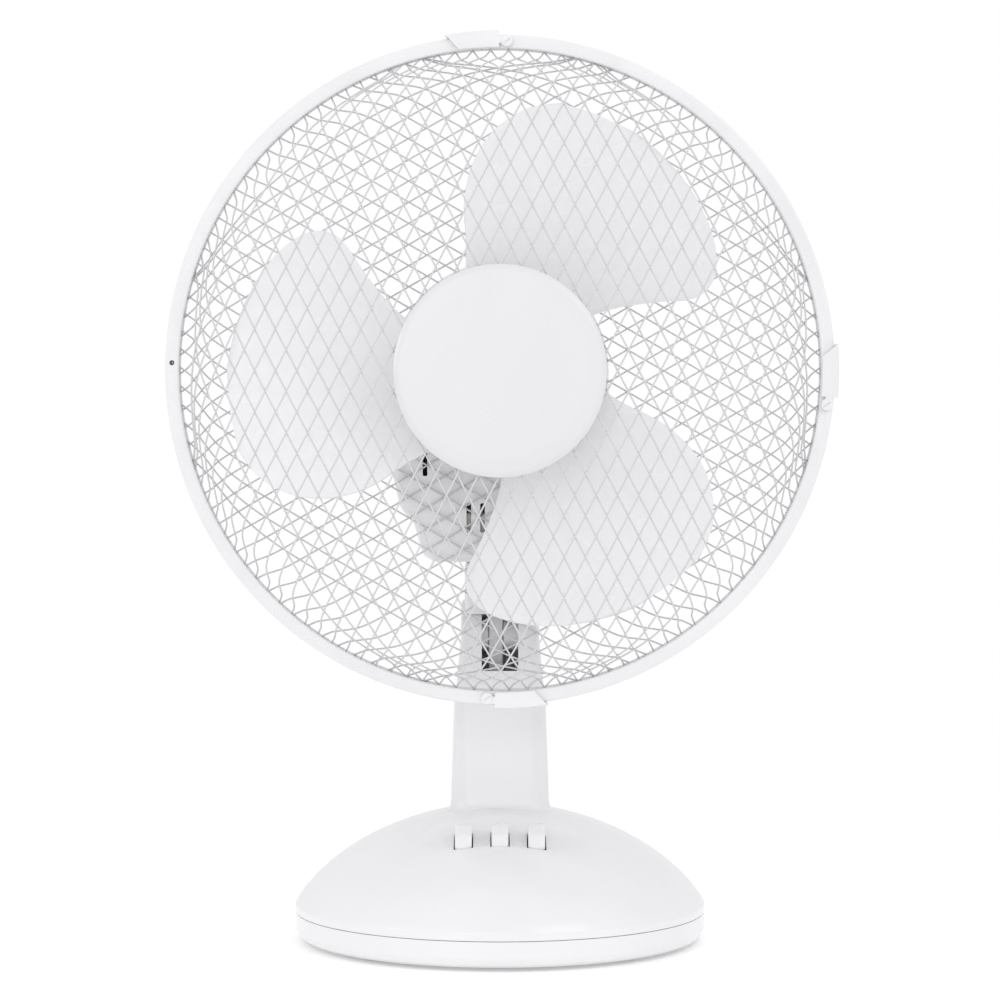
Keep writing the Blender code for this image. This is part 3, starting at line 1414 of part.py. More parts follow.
def build_clip(name, degrees, head_axis):
    """A latch on a pin through the rim: its hooked plate lies over the rim's edge.

    The plate is straight, so it leans in until it is square to the rim at its middle.
    """
    place = rim_spot(CLIP_HINGE_RADIUS, degrees, RIM_CENTRE)
    axis = new_axis(f"{name}_hinge", place, head_axis)
    face = RIM_HALF_DEPTH + GAP
    front = face + CLIP_PLATE
    lean = math.asin(CLIP_REACH / 2 / CLIP_HINGE_RADIUS)
    rise = CLIP_HINGE_RADIUS * (1 - math.cos(lean))
    web_start = RIM_RADIUS + rise + RUNNING_GAP - CLIP_HINGE_RADIUS
    web_end = web_start + CLIP_WEB
    inner = RIM_INNER_RADIUS - CLIP_HINGE_RADIUS
    near = -CLIP_KNOB_RADIUS - 0.0008
    far = -CLIP_REACH
    turn = (math.pi / 2, -math.radians(degrees - 90) - lean, 0)

    def slab(part, low, high):
        low, high = Vector(low), Vector(high)
        bm = bmesh.new()
        bmesh.ops.create_cube(bm, size=1.0)
        bmesh.ops.scale(bm, vec=high - low, verts=bm.verts)
        bmesh.ops.translate(bm, vec=(low + high) / 2, verts=bm.verts)
        return mesh_from(bm, part)

    clip = new_piece(name, slab(name, (far, web_start, -front), (near, web_end, front)), GUARD, axis, place, turn)
    plates = [
        ("front_plate", (far, inner, face), (near, web_start + 0.0004, front)),
        ("rear_plate", (far, inner + 0.003, -front), (near, web_start + 0.0004, -face)),
        ("front_tab", (near - 0.001, 0.0, face), (0.0, web_start, front)),
        ("rear_tab", (near - 0.001, 0.0, -front), (0.0, web_start, -face)),
    ]
    for part, low, high in plates:
        join(clip, new_piece(f"{name}_{part}", slab(part, low, high), place=place, turn=turn))
    knob = turned(
        f"{name}_knob",
        [
            (0, front + 0.0008),
            (CLIP_KNOB_RADIUS * 0.8, front + 0.0006),
            (CLIP_KNOB_RADIUS, front - 0.0004),
            (CLIP_KNOB_RADIUS, face),
            (CLIP_PIN_RADIUS, face),
            (CLIP_PIN_RADIUS, -face),
            (CLIP_KNOB_RADIUS, -face),
            (CLIP_KNOB_RADIUS, -front),
            (0, -front),
        ],
        place,
        turn,
        steps=10,
        closed=False,
    )
    join(clip, knob)


# Assembly


def build_fan():
    build_base_cover()
    build_bottom_plate()
    build_base_fasteners()
    build_gland()
    build_switch()
    for name, x in key_places().items():
        build_key(name, x)
    build_column()
    build_tilt_bolt()

    tilt = new_axis("tilt_axis", (0, COLUMN_Y, TILT_HEIGHT))
    build_neck(tilt)
    head = new_axis("oscillation_axis", (0, COLUMN_Y, COLLAR_TOP), tilt)
    build_front_housing(head)
    build_rear_cover(head)
    build_stator(head)
    build_bells(head)
    build_capacitor(head)
    build_case(head)
    build_rear_guard(head)
    build_front_guard(head)
    build_badge(head)
    build_rims(head)
    for name, degrees in CLIP_ANGLES.items():
        build_clip(name, degrees, head)

    rotor = new_axis("rotor_axis", spot(), head)
    build_shaft(rotor)
    build_blades(rotor)
    build_spinner(rotor)
    build_worm_wheel(new_axis("worm_wheel_axis", spot(WHEEL_X, WHEEL_FORWARD), head))
    crank = new_axis("crank_axis", spot(CRANK_X, CRANK_FORWARD, GEAR_BOTTOM), head)
    build_crank(crank)
    build_link(new_axis("link_axis", spot(CRANK_X + CRANK_RADIUS, CRANK_FORWARD, LINK_BOTTOM), crank))
    build_knob(new_axis("knob_slide", spot(WHEEL_X, WHEEL_FORWARD, KNOB_SEAT), head))


build_fan()
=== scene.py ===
"""The looks of a desk fan with diamond wire guards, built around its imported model.

Metres, +Z up. The fan blows towards -Y. Pieces on the head are placed by their distance forward of
the upright axis that the head swings about, and turned pieces are drawn about +Z and then faced
forward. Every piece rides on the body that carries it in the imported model.
"""

import logging
import math
from collections.abc import Iterable, Mapping, Sequence
from dataclasses import dataclass
from enum import Enum

import bmesh
import bpy
from mathutils import Matrix, Vector

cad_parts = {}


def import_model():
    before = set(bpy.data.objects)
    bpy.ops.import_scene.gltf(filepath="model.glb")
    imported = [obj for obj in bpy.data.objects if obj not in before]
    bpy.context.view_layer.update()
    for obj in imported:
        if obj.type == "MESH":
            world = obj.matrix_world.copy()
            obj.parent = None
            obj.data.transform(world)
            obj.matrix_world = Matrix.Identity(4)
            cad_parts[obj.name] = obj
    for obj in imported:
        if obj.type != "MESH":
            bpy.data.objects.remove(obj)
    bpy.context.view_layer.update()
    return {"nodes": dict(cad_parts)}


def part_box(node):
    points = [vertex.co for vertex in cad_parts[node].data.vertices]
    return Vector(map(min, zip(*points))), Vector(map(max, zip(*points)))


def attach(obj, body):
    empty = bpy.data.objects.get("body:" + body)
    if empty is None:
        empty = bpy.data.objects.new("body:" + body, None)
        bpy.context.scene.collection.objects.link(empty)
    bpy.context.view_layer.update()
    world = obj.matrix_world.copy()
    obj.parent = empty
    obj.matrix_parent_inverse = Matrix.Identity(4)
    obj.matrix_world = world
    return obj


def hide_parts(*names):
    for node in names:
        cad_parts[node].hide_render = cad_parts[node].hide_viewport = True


LOG = logging.getLogger("desk_fan")

Point2 = tuple[float, float]
Point3 = tuple[float, float, float]
Corner = tuple[float, float, float]
Colour = tuple[float, float, float]


# Shader graphs


class Signal:
    """One output of a shader node, on which arithmetic adds Math nodes."""

    def __init__(self, graph: "Graph", socket: bpy.types.NodeSocket) -> None:
        """Wraps a socket.

        Args:
            graph: The graph that the socket's node is in.
            socket: The output that this signal stands for.
        """
        self.graph = graph
        self.socket = socket

    def _math(self, operation: str, first: "Signal | float", second: "Signal | float") -> "Signal":
        """Adds one Math node.

        Args:
            operation: The Math node's operation.
            first: Its first operand.
            second: Its second operand.

        Returns:
            The node's result.
        """
        return self.graph.add("ShaderNodeMath", {"operation": operation}, {0: first, 1: second})

    def __add__(self, other: "Signal | float") -> "Signal":
        """The sum of this and another value."""
        return self._math("ADD", self, other)

    def __radd__(self, other: float) -> "Signal":
        """The sum of a number and this."""
        return self._math("ADD", other, self)

    def __sub__(self, other: "Signal | float") -> "Signal":
        """This less another value."""
        return self._math("SUBTRACT", self, other)

    def __rsub__(self, other: float) -> "Signal":
        """A number less this."""
        return self._math("SUBTRACT", other, self)

    def __mul__(self, other: "Signal | float") -> "Signal":
        """The product of this and another value."""
        return self._math("MULTIPLY", self, other)

    def __rmul__(self, other: float) -> "Signal":
        """The product of a number and this."""
        return self._math("MULTIPLY", other, self)

    def __truediv__(self, other: "Signal | float") -> "Signal":
        """This divided by another value."""
        return self._math("DIVIDE", self, other)

    def __pow__(self, power: float) -> "Signal":
        """This raised to a power."""
        return self._math("POWER", self, power)

    def sine(self) -> "Signal":
        """The sine of this value, taken as radians."""
        return self.graph.add("ShaderNodeMath", {"operation": "SINE"}, {0: self})

    def clamped(self) -> "Signal":
        """This value held between 0 and 1."""
        return self.graph.add("ShaderNodeClamp", {}, {"Value": self})


class Graph:
    """A material's node tree, built round one Principled shader."""

    def __init__(self, name: str) -> None:
        """Makes an empty material.

        Args:
            name: The material's name.
        """
        self.material = bpy.data.materials.new(name)
        self.material.use_nodes = True
        self.tree = self.material.node_tree
        self.shader = self.tree.nodes["Principled BSDF"]

    def add(
        self,
        kind: str,
        settings: Mapping[str, object] | None = None,
        inputs: Mapping[int | str, object] | None = None,
        output: int | str = 0,
    ) -> Signal:
        """Adds a node, sets it up and fills its sockets.

        Args:
            kind: The node's type.
            settings: Its properties. A ramp takes "stops", as (position, grey) pairs.
            inputs: A number, a vector, a colour or a signal for each named or numbered socket.
            output: The socket that the returned signal stands for.

        Returns:
            The chosen output.
        """
        node = self.tree.nodes.new(kind)
        for name, value in (settings or {}).items():
            if name == "stops":
                self._set_stops(node.color_ramp, value)
            else:
                setattr(node, name, value)
        for name, value in (inputs or {}).items():
            self._fill(node.inputs[name], value)
        return Signal(self, node.outputs[output])

    def _set_stops(self, ramp: bpy.types.ColorRamp, stops: Sequence[Point2]) -> None:
        """Writes a colour ramp's stops.

        Args:
            ramp: The ramp to write to.
            stops: The position and the grey level of each stop.
        """
        while len(ramp.elements) < len(stops):
            ramp.elements.new(1.0)
        for element, (position, grey) in zip(ramp.elements, stops):
            element.position = position
            element.color = (grey, grey, grey, 1.0)

    def _fill(self, socket: bpy.types.NodeSocket, value: object) -> None:
        """Links a signal to a socket, or sets the socket's own value."""
        if isinstance(value, Signal):
            self.tree.links.new(value.socket, socket)
        else:
            socket.default_value = value

    def coordinates(self) -> Signal:
        """The point on the surface, in metres."""
        return self.add("ShaderNodeTexCoord", output="Object")

    def axes(self) -> tuple[Signal, Signal, Signal]:
        """The point's three coordinates, each as its own signal."""
        node = self.add("ShaderNodeSeparateXYZ", {}, {0: self.coordinates()}).socket.node
        return Signal(self, node.outputs[0]), Signal(self, node.outputs[1]), Signal(self, node.outputs[2])

    def noise(self, scale: float, detail: float = 3.0, roughness: float = 0.5, stretch: Point3 = (1, 1, 1)) -> Signal:
        """Adds a noise pattern on the surface's own coordinates.

        Args:
            scale: How many features there are to a metre.
            detail: How many octaves it has.
            roughness: How strong the finer octaves are.
            stretch: A factor along each axis, under 1 to draw the pattern out.

        Returns:
            The pattern, from 0 to 1.
        """
        placed = self.add("ShaderNodeMapping", {}, {"Vector": self.coordinates(), "Scale": stretch})
        sockets = {"Vector": placed, "Scale": scale, "Detail": detail, "Roughness": roughness}
        return self.add("ShaderNodeTexNoise", {}, sockets)

    def ramp(self, value: Signal, low: float, high: float) -> Signal:
        """A value stretched so that low comes to 0 and high to 1.

        Args:
            value: The value to stretch.
            low: What comes to 0.
            high: What comes to 1.

        Returns:
            The stretched value, held between 0 and 1.
        """
        return self.add("ShaderNodeMapRange", {}, {"Value": value, "From Min": low, "From Max": high})

    def tint(self, mask: Signal, first: Colour, second: Colour) -> Signal:
        """Mixes two colours.

        Args:
            mask: Where the second colour shows.
            first: The colour where the mask is 0.
            second: The colour where the mask is 1.

        Returns:
            The mixed colour.
        """
        sockets = {"Factor": mask, 6: (*first, 1.0), 7: (*second, 1.0)}
        return self.add("ShaderNodeMix", {"data_type": "RGBA"}, sockets, output=2)

    def relief(self, height: Signal, depth: float, strength: float = 1.0) -> Signal:
        """Turns a height into a surface normal.

        Args:
            height: The pattern of heights, from 0 to 1.
            depth: How deep the pattern is, in metres.
            strength: How much of it shows.

        Returns:
            The normal.
        """
        return self.add("ShaderNodeBump", {}, {"Height": height, "Distance": depth, "Strength": strength})

    def finish(self, **sockets: object) -> bpy.types.Material:
        """Fills the Principled shader's sockets.

        Args:
            sockets: A value or a signal for each socket, with underscores in place of spaces.

        Returns:
            The finished material.
        """
        for name, value in sockets.items():
            self._fill(self.shader.inputs[name.replace("_", " ")], value)
        return self.material


def shaded(colour: Colour, factor: float) -> Colour:
    """A colour made darker or lighter by a factor."""
    return tuple(min(1.0, channel * factor) for channel in colour)


# Finishes


@dataclass(frozen=True)
class Moulding:
    """Injection-moulded plastic with a fine skin, faint flow marks and a little handling sheen."""

    name: str
    colour: Colour
    roughness: float = 0.22
    skin_scale: float = 2600.0
    skin_depth: float = 0.000012
    wave_scale: float = 60.0
    wave_depth: float = 0.00010
    tone: float = 0.965
    coat: float = 0.0

    def material(self) -> bpy.types.Material:
        """Builds the material."""
        graph = Graph(self.name)
        skin = graph.noise(self.skin_scale, 2.0, 0.6)
        waves = graph.noise(self.wave_scale, 2.0, 0.4, (1.0, 1.0, 0.5))
        marks = graph.noise(16.0, 4.0, 0.55, (1.0, 1.0, 0.35))
        handled = graph.ramp(graph.noise(90.0, 5.0, 0.65), 0.42, 0.72)
        colour = graph.tint(graph.ramp(marks, 0.35, 0.70), self.colour, shaded(self.colour, self.tone))
        broad = graph.relief(waves, self.wave_depth, 0.5)
        fine = graph.add(
            "ShaderNodeBump", {}, {"Height": skin, "Distance": self.skin_depth, "Strength": 0.6, "Normal": broad}
        )
        rough = self.roughness + handled * 0.05 + (skin - 0.5) * 0.06
        return graph.finish(
            Base_Color=colour, Roughness=rough, Normal=fine, Coat_Weight=self.coat, Coat_Roughness=0.08
        )


@dataclass(frozen=True)
class Sparked:
    """Plastic from a spark-eroded mould: an even, matt, pebbled skin."""

    name: str
    colour: Colour
    roughness: float = 0.46
    pebble_scale: float = 1500.0
    pebble_depth: float = 0.00005

    def material(self) -> bpy.types.Material:
        """Builds the material."""
        graph = Graph(self.name)
        cells = graph.add(
            "ShaderNodeTexVoronoi",
            {"feature": "SMOOTH_F1"},
            {"Vector": graph.coordinates(), "Scale": self.pebble_scale, "Smoothness": 0.7},
        )
        dust = graph.ramp(graph.noise(35.0, 5.0, 0.6), 0.50, 0.80)
        colour = graph.tint(dust, self.colour, shaded(self.colour, 0.94))
        normal = graph.relief(cells, self.pebble_depth, 0.55)
        return graph.finish(Base_Color=colour, Roughness=self.roughness + dust * 0.10, Normal=normal)


@dataclass(frozen=True)
class PowderCoat:
    """Powder-coated steel: a thick even film with orange peel and faintly glossy crests."""

    name: str
    colour: Colour
    roughness: float = 0.28
    peel_scale: float = 900.0
    peel_depth: float = 0.00006

    def material(self) -> bpy.types.Material:
        """Builds the material."""
        graph = Graph(self.name)
        peel = graph.noise(self.peel_scale, 2.0, 0.45)
        tone = graph.ramp(graph.noise(40.0, 3.0, 0.5), 0.35, 0.75)
        colour = graph.tint(tone, self.colour, shaded(self.colour, 0.95))
        rough = self.roughness + (1.0 - peel) * 0.10
        normal = graph.relief(peel, self.peel_depth, 0.6)
        return graph.finish(Base_Color=colour, Roughness=rough, Normal=normal)


@dataclass(frozen=True)
class BladeMoulding:
    """Thin glossy plastic with flow lines that run out from the hub along each blade."""

    name: str
    colour: Colour
    centre: Point3
    roughness: float = 0.24
    line_count: float = 46.0

    def material(self) -> bpy.types.Material:
        """Builds the material."""
        graph = Graph(self.name)
        offset = tuple(-value for value in self.centre)
        placed = graph.add("ShaderNodeMapping", {}, {"Vector": graph.coordinates(), "Location": offset})
        split = graph.add("ShaderNodeSeparateXYZ", {}, {0: placed}).socket.node
        across, up = Signal(graph, split.outputs[0]), Signal(graph, split.outputs[2])
        angle = graph.add("ShaderNodeMath", {"operation": "ARCTAN2"}, {0: up, 1: across})
        wander = graph.noise(30.0, 3.0, 0.5)
        lines = (angle * self.line_count + wander * 9.0).sine() * 0.5 + 0.5
        reach = (across * across + up * up) ** 0.5
        hub_shade = graph.ramp(reach, 0.030, 0.075)
        mask = (lines * 0.35 + wander * 0.65) * hub_shade
        colour = graph.tint(mask.clamped(), self.colour, shaded(self.colour, 0.965))
        normal = graph.relief(lines * 0.3 + wander, 0.00012, 0.4)
        rough = self.roughness + wander * 0.06
        return graph.finish(Base_Color=colour, Roughness=rough, Normal=normal)


@dataclass(frozen=True)
class Rubber:
    """Moulded rubber with a fine bloom and scuffed high spots."""

    name: str
    colour: Colour = (0.035, 0.035, 0.037)

    def material(self) -> bpy.types.Material:
        """Builds the material."""
        graph = Graph(self.name)
        bloom = graph.ramp(graph.noise(220.0, 5.0, 0.65), 0.45, 0.75)
        grit = graph.noise(2200.0, 2.0, 0.5)
        colour = graph.tint(bloom, self.colour, shaded(self.colour, 2.1))
        normal = graph.relief(grit, 0.00005, 0.6)
        return graph.finish(Base_Color=colour, Roughness=0.78 + bloom * 0.12, Normal=normal)


class Metal(Enum):
    """The bare metals inside the fan, each with its colour, roughness and grain."""

    ZINC = ((0.58, 0.59, 0.61), 0.28, (1.0, 1.0, 1.0))
    SHAFT = ((0.62, 0.62, 0.63), 0.18, (1.0, 0.04, 1.0))
    SHEET_STACK = ((0.27, 0.27, 0.28), 0.50, (0.02, 1.0, 0.02))
    CAST = ((0.56, 0.57, 0.58), 0.48, (1.0, 1.0, 1.0))
    BRONZE = ((0.46, 0.31, 0.14), 0.42, (1.0, 1.0, 1.0))


@dataclass(frozen=True)
class BareMetal:
    """A bare metal with its own grain, some tarnish and fine scratches."""

    name: str
    metal: Metal

    def material(self) -> bpy.types.Material:
        """Builds the material."""
        colour, roughness, stretch = self.metal.value
        graph = Graph(self.name)
        grain = graph.noise(1400.0, 3.0, 0.6, stretch)
        tarnish = graph.ramp(graph.noise(120.0, 5.0, 0.65), 0.45, 0.78)
        tone = graph.tint(tarnish, colour, shaded(colour, 0.72))
        rough = roughness + grain * 0.14 + tarnish * 0.10
        normal = graph.relief(grain, 0.00004, 0.7)
        return graph.finish(Base_Color=tone, Roughness=rough, Metallic=1.0, Normal=normal)


@dataclass(frozen=True)
class Winding:
    """Enamelled copper wire wound in close turns along the fan's axis."""

    name: str
    colour: Colour = (0.62, 0.22, 0.07)
    turns_per_metre: float = 1900.0

    def material(self) -> bpy.types.Material:
        """Builds the material."""
        graph = Graph(self.name)
        x, y, z = graph.axes()
        turns = ((x + z) * (self.turns_per_metre * 2.2)).sine() * 0.5 + 0.5
        lacquer = graph.ramp(graph.noise(160.0, 4.0, 0.6), 0.40, 0.75)
        colour = graph.tint(lacquer, self.colour, shaded(self.colour, 0.55))
        normal = graph.relief(turns, 0.00025, 0.9)
        return graph.finish(Base_Color=colour, Roughness=0.24 + lacquer * 0.15, Metallic=0.85, Normal=normal)


@dataclass(frozen=True)
class Finishes:
    """Every finish that the fan wears."""

    housing: bpy.types.Material
    badge: bpy.types.Material
    motor_shell: bpy.types.Material
    coated_wire: bpy.types.Material
    coated_rim: bpy.types.Material
    blade: bpy.types.Material
    switch: bpy.types.Material
    rubber: bpy.types.Material
    zinc: bpy.types.Material
    shaft: bpy.types.Material
    sheets: bpy.types.Material
    cast: bpy.types.Material
    bronze: bpy.types.Material
    copper: bpy.types.Material
    nylon: bpy.types.Material
    capacitor: bpy.types.Material

    @classmethod
    def mixed(cls, hub: Point3) -> "Finishes":
        """Builds the materials.

        Args:
            hub: The centre of the blades' hub.

        Returns:
            The set of finishes.
        """
        white = (0.815, 0.815, 0.82)
        return cls(
            housing=Moulding("housing_white", white, roughness=0.20, coat=0.15).material(),
            # The badge's white is a darker copy of the housing's white plastic: painted shade that tones down the
            # brightly lit disc.
            badge=Moulding("badge_white", (0.755, 0.755, 0.765), roughness=0.24, coat=0.10).material(),
            # The motor shell's white is a lighter copy of the housing's white plastic: painted light that makes up for
            # the shade the shell sits in behind the guards.
            motor_shell=Sparked("motor_shell_white", (0.88, 0.88, 0.89)).material(),
            # The guards' coat (wires, hoops and the rear plate) is the same white as the rims; its grey here is painted
            # shade that tones down the lit wires.
            coated_wire=PowderCoat("guard_white", (0.66, 0.66, 0.665)).material(),
            coated_rim=PowderCoat("rim_white", (0.83, 0.83, 0.835), roughness=0.24).material(),
            # The blades' white is lighter than the housing's: painted light that makes up for the shade the blades sit
            # in behind the front guard.
            blade=BladeMoulding("blade_white", (0.89, 0.89, 0.90), hub).material(),
            switch=Sparked("switch_black", (0.018, 0.018, 0.019), roughness=0.42).material(),
            rubber=Rubber("foot_rubber").material(),
            zinc=BareMetal("bright_steel", Metal.ZINC).material(),
            shaft=BareMetal("ground_steel", Metal.SHAFT).material(),
            sheets=BareMetal("lamination_steel", Metal.SHEET_STACK).material(),
            cast=BareMetal("cast_aluminium", Metal.CAST).material(),
            bronze=BareMetal("bearing_bronze", Metal.BRONZE).material(),
            copper=Winding("copper_wire").material(),
            nylon=Moulding("gear_nylon", (0.78, 0.75, 0.66), roughness=0.36).material(),
            capacitor=Moulding("capacitor_case", (0.66, 0.66, 0.61), roughness=0.34).material(),
        )


# Places and modelling


@dataclass(frozen=True)
class Station:
    """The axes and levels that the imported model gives."""

    axis_y: float
    hub_height: float
    tilt_height: float
    rim_radius: float
    rim_inner: float
    rim_forward: float

    @classmethod
    def measured(cls) -> "Station":
        """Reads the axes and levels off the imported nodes.

        Returns:
            The station of this fan.
        """
        post_low, post_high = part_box("oscillation_shaft")
        rotor_low, rotor_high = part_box("rotor_core")
        bolt_low, bolt_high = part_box("tilt_bolt")
        rim_low, rim_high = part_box("front_rim")
        rear_low, rear_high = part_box("rear_rim")
        axis_y = (post_low.y + post_high.y) / 2
        guard_low, guard_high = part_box("front_guard")
        return cls(
            axis_y=axis_y,
            hub_height=(rotor_low.z + rotor_high.z) / 2,
            tilt_height=(bolt_low.z + bolt_high.z) / 2,
            rim_radius=(rim_high.x - rim_low.x) / 2,
            rim_inner=(guard_high.x - guard_low.x) / 2 - 0.0018,
            rim_forward=axis_y - (rim_high.y + rear_low.y) / 2,
        )

    def spot(self, x: float = 0.0, forward: float = 0.0, height: float | None = None) -> Vector:
        """A point on the head.

        Args:
            x: Its place across.
            forward: Its distance forward of the upright axis.
            height: Its height over the table, or the hub's height.

        Returns:
            The point.
        """
        return Vector((x, self.axis_y - forward, self.hub_height if height is None else height))

    def facing(self, forward: float = 0.0, x: float = 0.0, height: float | None = None) -> Matrix:
        """The matrix that puts a piece drawn about +Z on the head, with +Z pointing forward."""
        return Matrix.Translation(self.spot(x, forward, height)) @ Matrix.Rotation(math.pi / 2, 4, "X")


@dataclass(frozen=True)
class Berth:
    """Where a piece belongs: its body, the name of a finish slot, which nothing here reads, and the nodes that it
    stands for.
    """

    body: str
    slot: str
    stands_for: tuple[str, ...] = ()


def polar(radius: float, degrees: float) -> Point2:
    """The point at a distance and an angle from the origin."""
    angle = math.radians(degrees)
    return radius * math.cos(angle), radius * math.sin(angle)


def filleted(corners: Sequence[Corner], closed: bool = False, steps: int = 4) -> list[Point2]:
    """Rounds a polyline's corners.

    Args:
        corners: Each corner's two coordinates and its fillet radius.
        closed: Whether the last corner joins the first.
        steps: How many chords each fillet has.

    Returns:
        The points of the rounded line.
    """
    points: list[Point2] = []
    count = len(corners)
    for index, (x, y, radius) in enumerate(corners):
        if radius <= 0 or (not closed and index in (0, count - 1)):
            points.append((x, y))
            continue
        here = Vector((x, y))
        back = Vector(corners[index - 1][:2]) - here
        ahead = Vector(corners[(index + 1) % count][:2]) - here
        half = back.angle(ahead) / 2
        reach = min(radius / math.tan(half), 0.49 * back.length, 0.49 * ahead.length)
        turn = reach * math.tan(half)
        centre = here + (back.normalized() + ahead.normalized()).normalized() * turn / math.sin(half)
        start = here + back.normalized() * reach - centre
        end = here + ahead.normalized() * reach - centre
        first = math.atan2(start.y, start.x)
        sweep = math.atan2(end.y, end.x) - first
        sweep -= 2 * math.pi * round(sweep / (2 * math.pi))
        for step in range(steps + 1):
            angle = first + sweep * step / steps
            points.append((centre.x + turn * math.cos(angle), centre.y + turn * math.sin(angle)))
    return points


def revolved(profile: Sequence[Point2], steps: int = 96, closed: bool = False, sweep: float = 360.0) -> bmesh.types.BMesh:
    """Spins a profile about +Z.

    Args:
        profile: Points of (radius, height).
        steps: How many facets go round.
        closed: Whether the profile is a closed section.
        sweep: How far it is spun, in degrees. Under a full turn its ends are filled.

    Returns:
        The spun mesh, with its faces outwards.
    """
    bm = bmesh.new()
    verts = [bm.verts.new((radius, 0.0, height)) for radius, height in profile]
    edges = [bm.edges.new(pair) for pair in zip(verts, verts[1:])]
    if closed:
        edges.append(bm.edges.new((verts[-1], verts[0])))
    full = sweep >= 360.0
    bmesh.ops.spin(
        bm,
        geom=verts + edges,
        cent=(0, 0, 0),
        axis=(0, 0, 1),
        dvec=(0, 0, 0),
        angle=math.radians(sweep),
        steps=steps,
        use_merge=full,
        use_duplicate=False,
    )
    bmesh.ops.remove_doubles(bm, verts=bm.verts, dist=1e-6)
    if not full:
        bmesh.ops.holes_fill(bm, edges=bm.edges, sides=0)
    bmesh.ops.recalc_face_normals(bm, faces=bm.faces)
    return bm


def lofted(rings: Sequence[Sequence[Point3]], caps: tuple[bool, bool] = (True, True)) -> bmesh.types.BMesh:
    """Runs a skin through rings that have the same number of points.

    Args:
        rings: The rings, from first to last.
        caps: Whether the first and the last ring are filled.

    Returns:
        The skin, with its faces outwards where it is closed.
    """
    bm = bmesh.new()
    row = list(bmesh.ops.create_circle(bm, cap_ends=False, segments=len(rings[0]), radius=1.0)["verts"])
    for vert, point in zip(row, rings[0]):
        vert.co = point
    first = edges = [bm.edges.get((a, b)) for a, b in zip(row, row[1:] + row[:1])]
    for ring in rings[1:]:
        grown = bmesh.ops.extrude_edge_only(bm, edges=edges)["geom"]
        fresh = {item for item in grown if isinstance(item, bmesh.types.BMVert)}
        row = [next(edge.other_vert(vert) for edge in vert.link_edges if edge.other_vert(vert) in fresh) for vert in row]
        for vert, point in zip(row, ring):
            vert.co = point
        edges = [bm.edges.get((a, b)) for a, b in zip(row, row[1:] + row[:1])]
    for wanted, rim in zip(caps, (first, edges)):
        if wanted:
            bmesh.ops.holes_fill(bm, edges=rim, sides=0)
    bmesh.ops.recalc_face_normals(bm, faces=bm.faces)
    return bm


def moved(bm: bmesh.types.BMesh, matrix: Matrix) -> bmesh.types.BMesh:
    """A mesh put in its place by a matrix."""
    bmesh.ops.transform(bm, matrix=matrix, verts=bm.verts)
    return bm


def softened(bm: bmesh.types.BMesh, width: float, above: float = 35.0, segments: int = 3) -> bmesh.types.BMesh:
    """Rounds the edges where two faces meet at more than an angle.

    Args:
        bm: The mesh.
        width: How far the rounding reaches from the edge.
        above: The least angle between the faces, in degrees.
        segments: How many facets the rounding has.

    Returns:
        The same mesh.
    """
    limit = math.radians(above)
    edges = [edge for edge in bm.edges if edge.is_manifold and edge.calc_face_angle() > limit]
    bmesh.ops.bevel(
        bm,
        geom=edges,
        offset=width,
        affect="EDGES",
        segments=segments,
        profile=0.5,
        material=-1,
        clamp_overlap=True,
    )
    return bm


def block(low: Point3, high: Point3, rounding: float = 0.0) -> bmesh.types.BMesh:
    """A box between two corners.

    Args:
        low: The corner with the least coordinates.
        high: The opposite corner.
        rounding: How far its edges are rounded.

    Returns:
        The box.
    """
    low, high = Vector(low), Vector(high)
    bm = bmesh.new()
    bmesh.ops.create_cube(bm, size=1.0)
    bmesh.ops.scale(bm, vec=high - low, verts=bm.verts)
    bmesh.ops.translate(bm, vec=(low + high) / 2, verts=bm.verts)
    return softened(bm, rounding) if rounding else bm


def cylinder(radius: float, start: float, end: float, sides: int = 48, rounding: float = 0.0) -> bmesh.types.BMesh:
    """A cylinder about +Z.

    Args:
        radius: Its radius.
        start: The height of its lower face.
        end: The height of its upper face.
        sides: How many facets go round.
        rounding: How far its two rims are rounded.

    Returns:
        The cylinder.
    """
    bm = bmesh.new()
    bmesh.ops.create_cone(
        bm, cap_ends=True, cap_tris=False, segments=sides, radius1=radius, radius2=radius, depth=end - start
    )
    bmesh.ops.translate(bm, vec=(0, 0, (start + end) / 2), verts=bm.verts)
    return softened(bm, rounding, 50.0) if rounding else bm


def rounded_square(half_x: float, half_y: float, corner: float, height: float, centre_y: float) -> list[Point3]:
    """A level ring with rounded corners.

    Args:
        half_x: Half its width.
        half_y: Half its depth.
        corner: Its corner radius.
        height: Its height.
        centre_y: Where its centre is, front to back.

    Returns:
        The ring's points.
    """
    corners = [(half_x, half_y, corner), (-half_x, half_y, corner), (-half_x, -half_y, corner), (half_x, -half_y, corner)]
    return [(x, centre_y + y, height) for x, y in filleted(corners, closed=True, steps=10)]


def temporary(bm: bmesh.types.BMesh) -> bpy.types.Object:
    """Turns a mesh into an object that is removed again later."""
    mesh = bpy.data.meshes.new("work")
    bm.to_mesh(mesh)
    bm.free()
    obj = bpy.data.objects.new("work", mesh)
    bpy.context.scene.collection.objects.link(obj)
    return obj


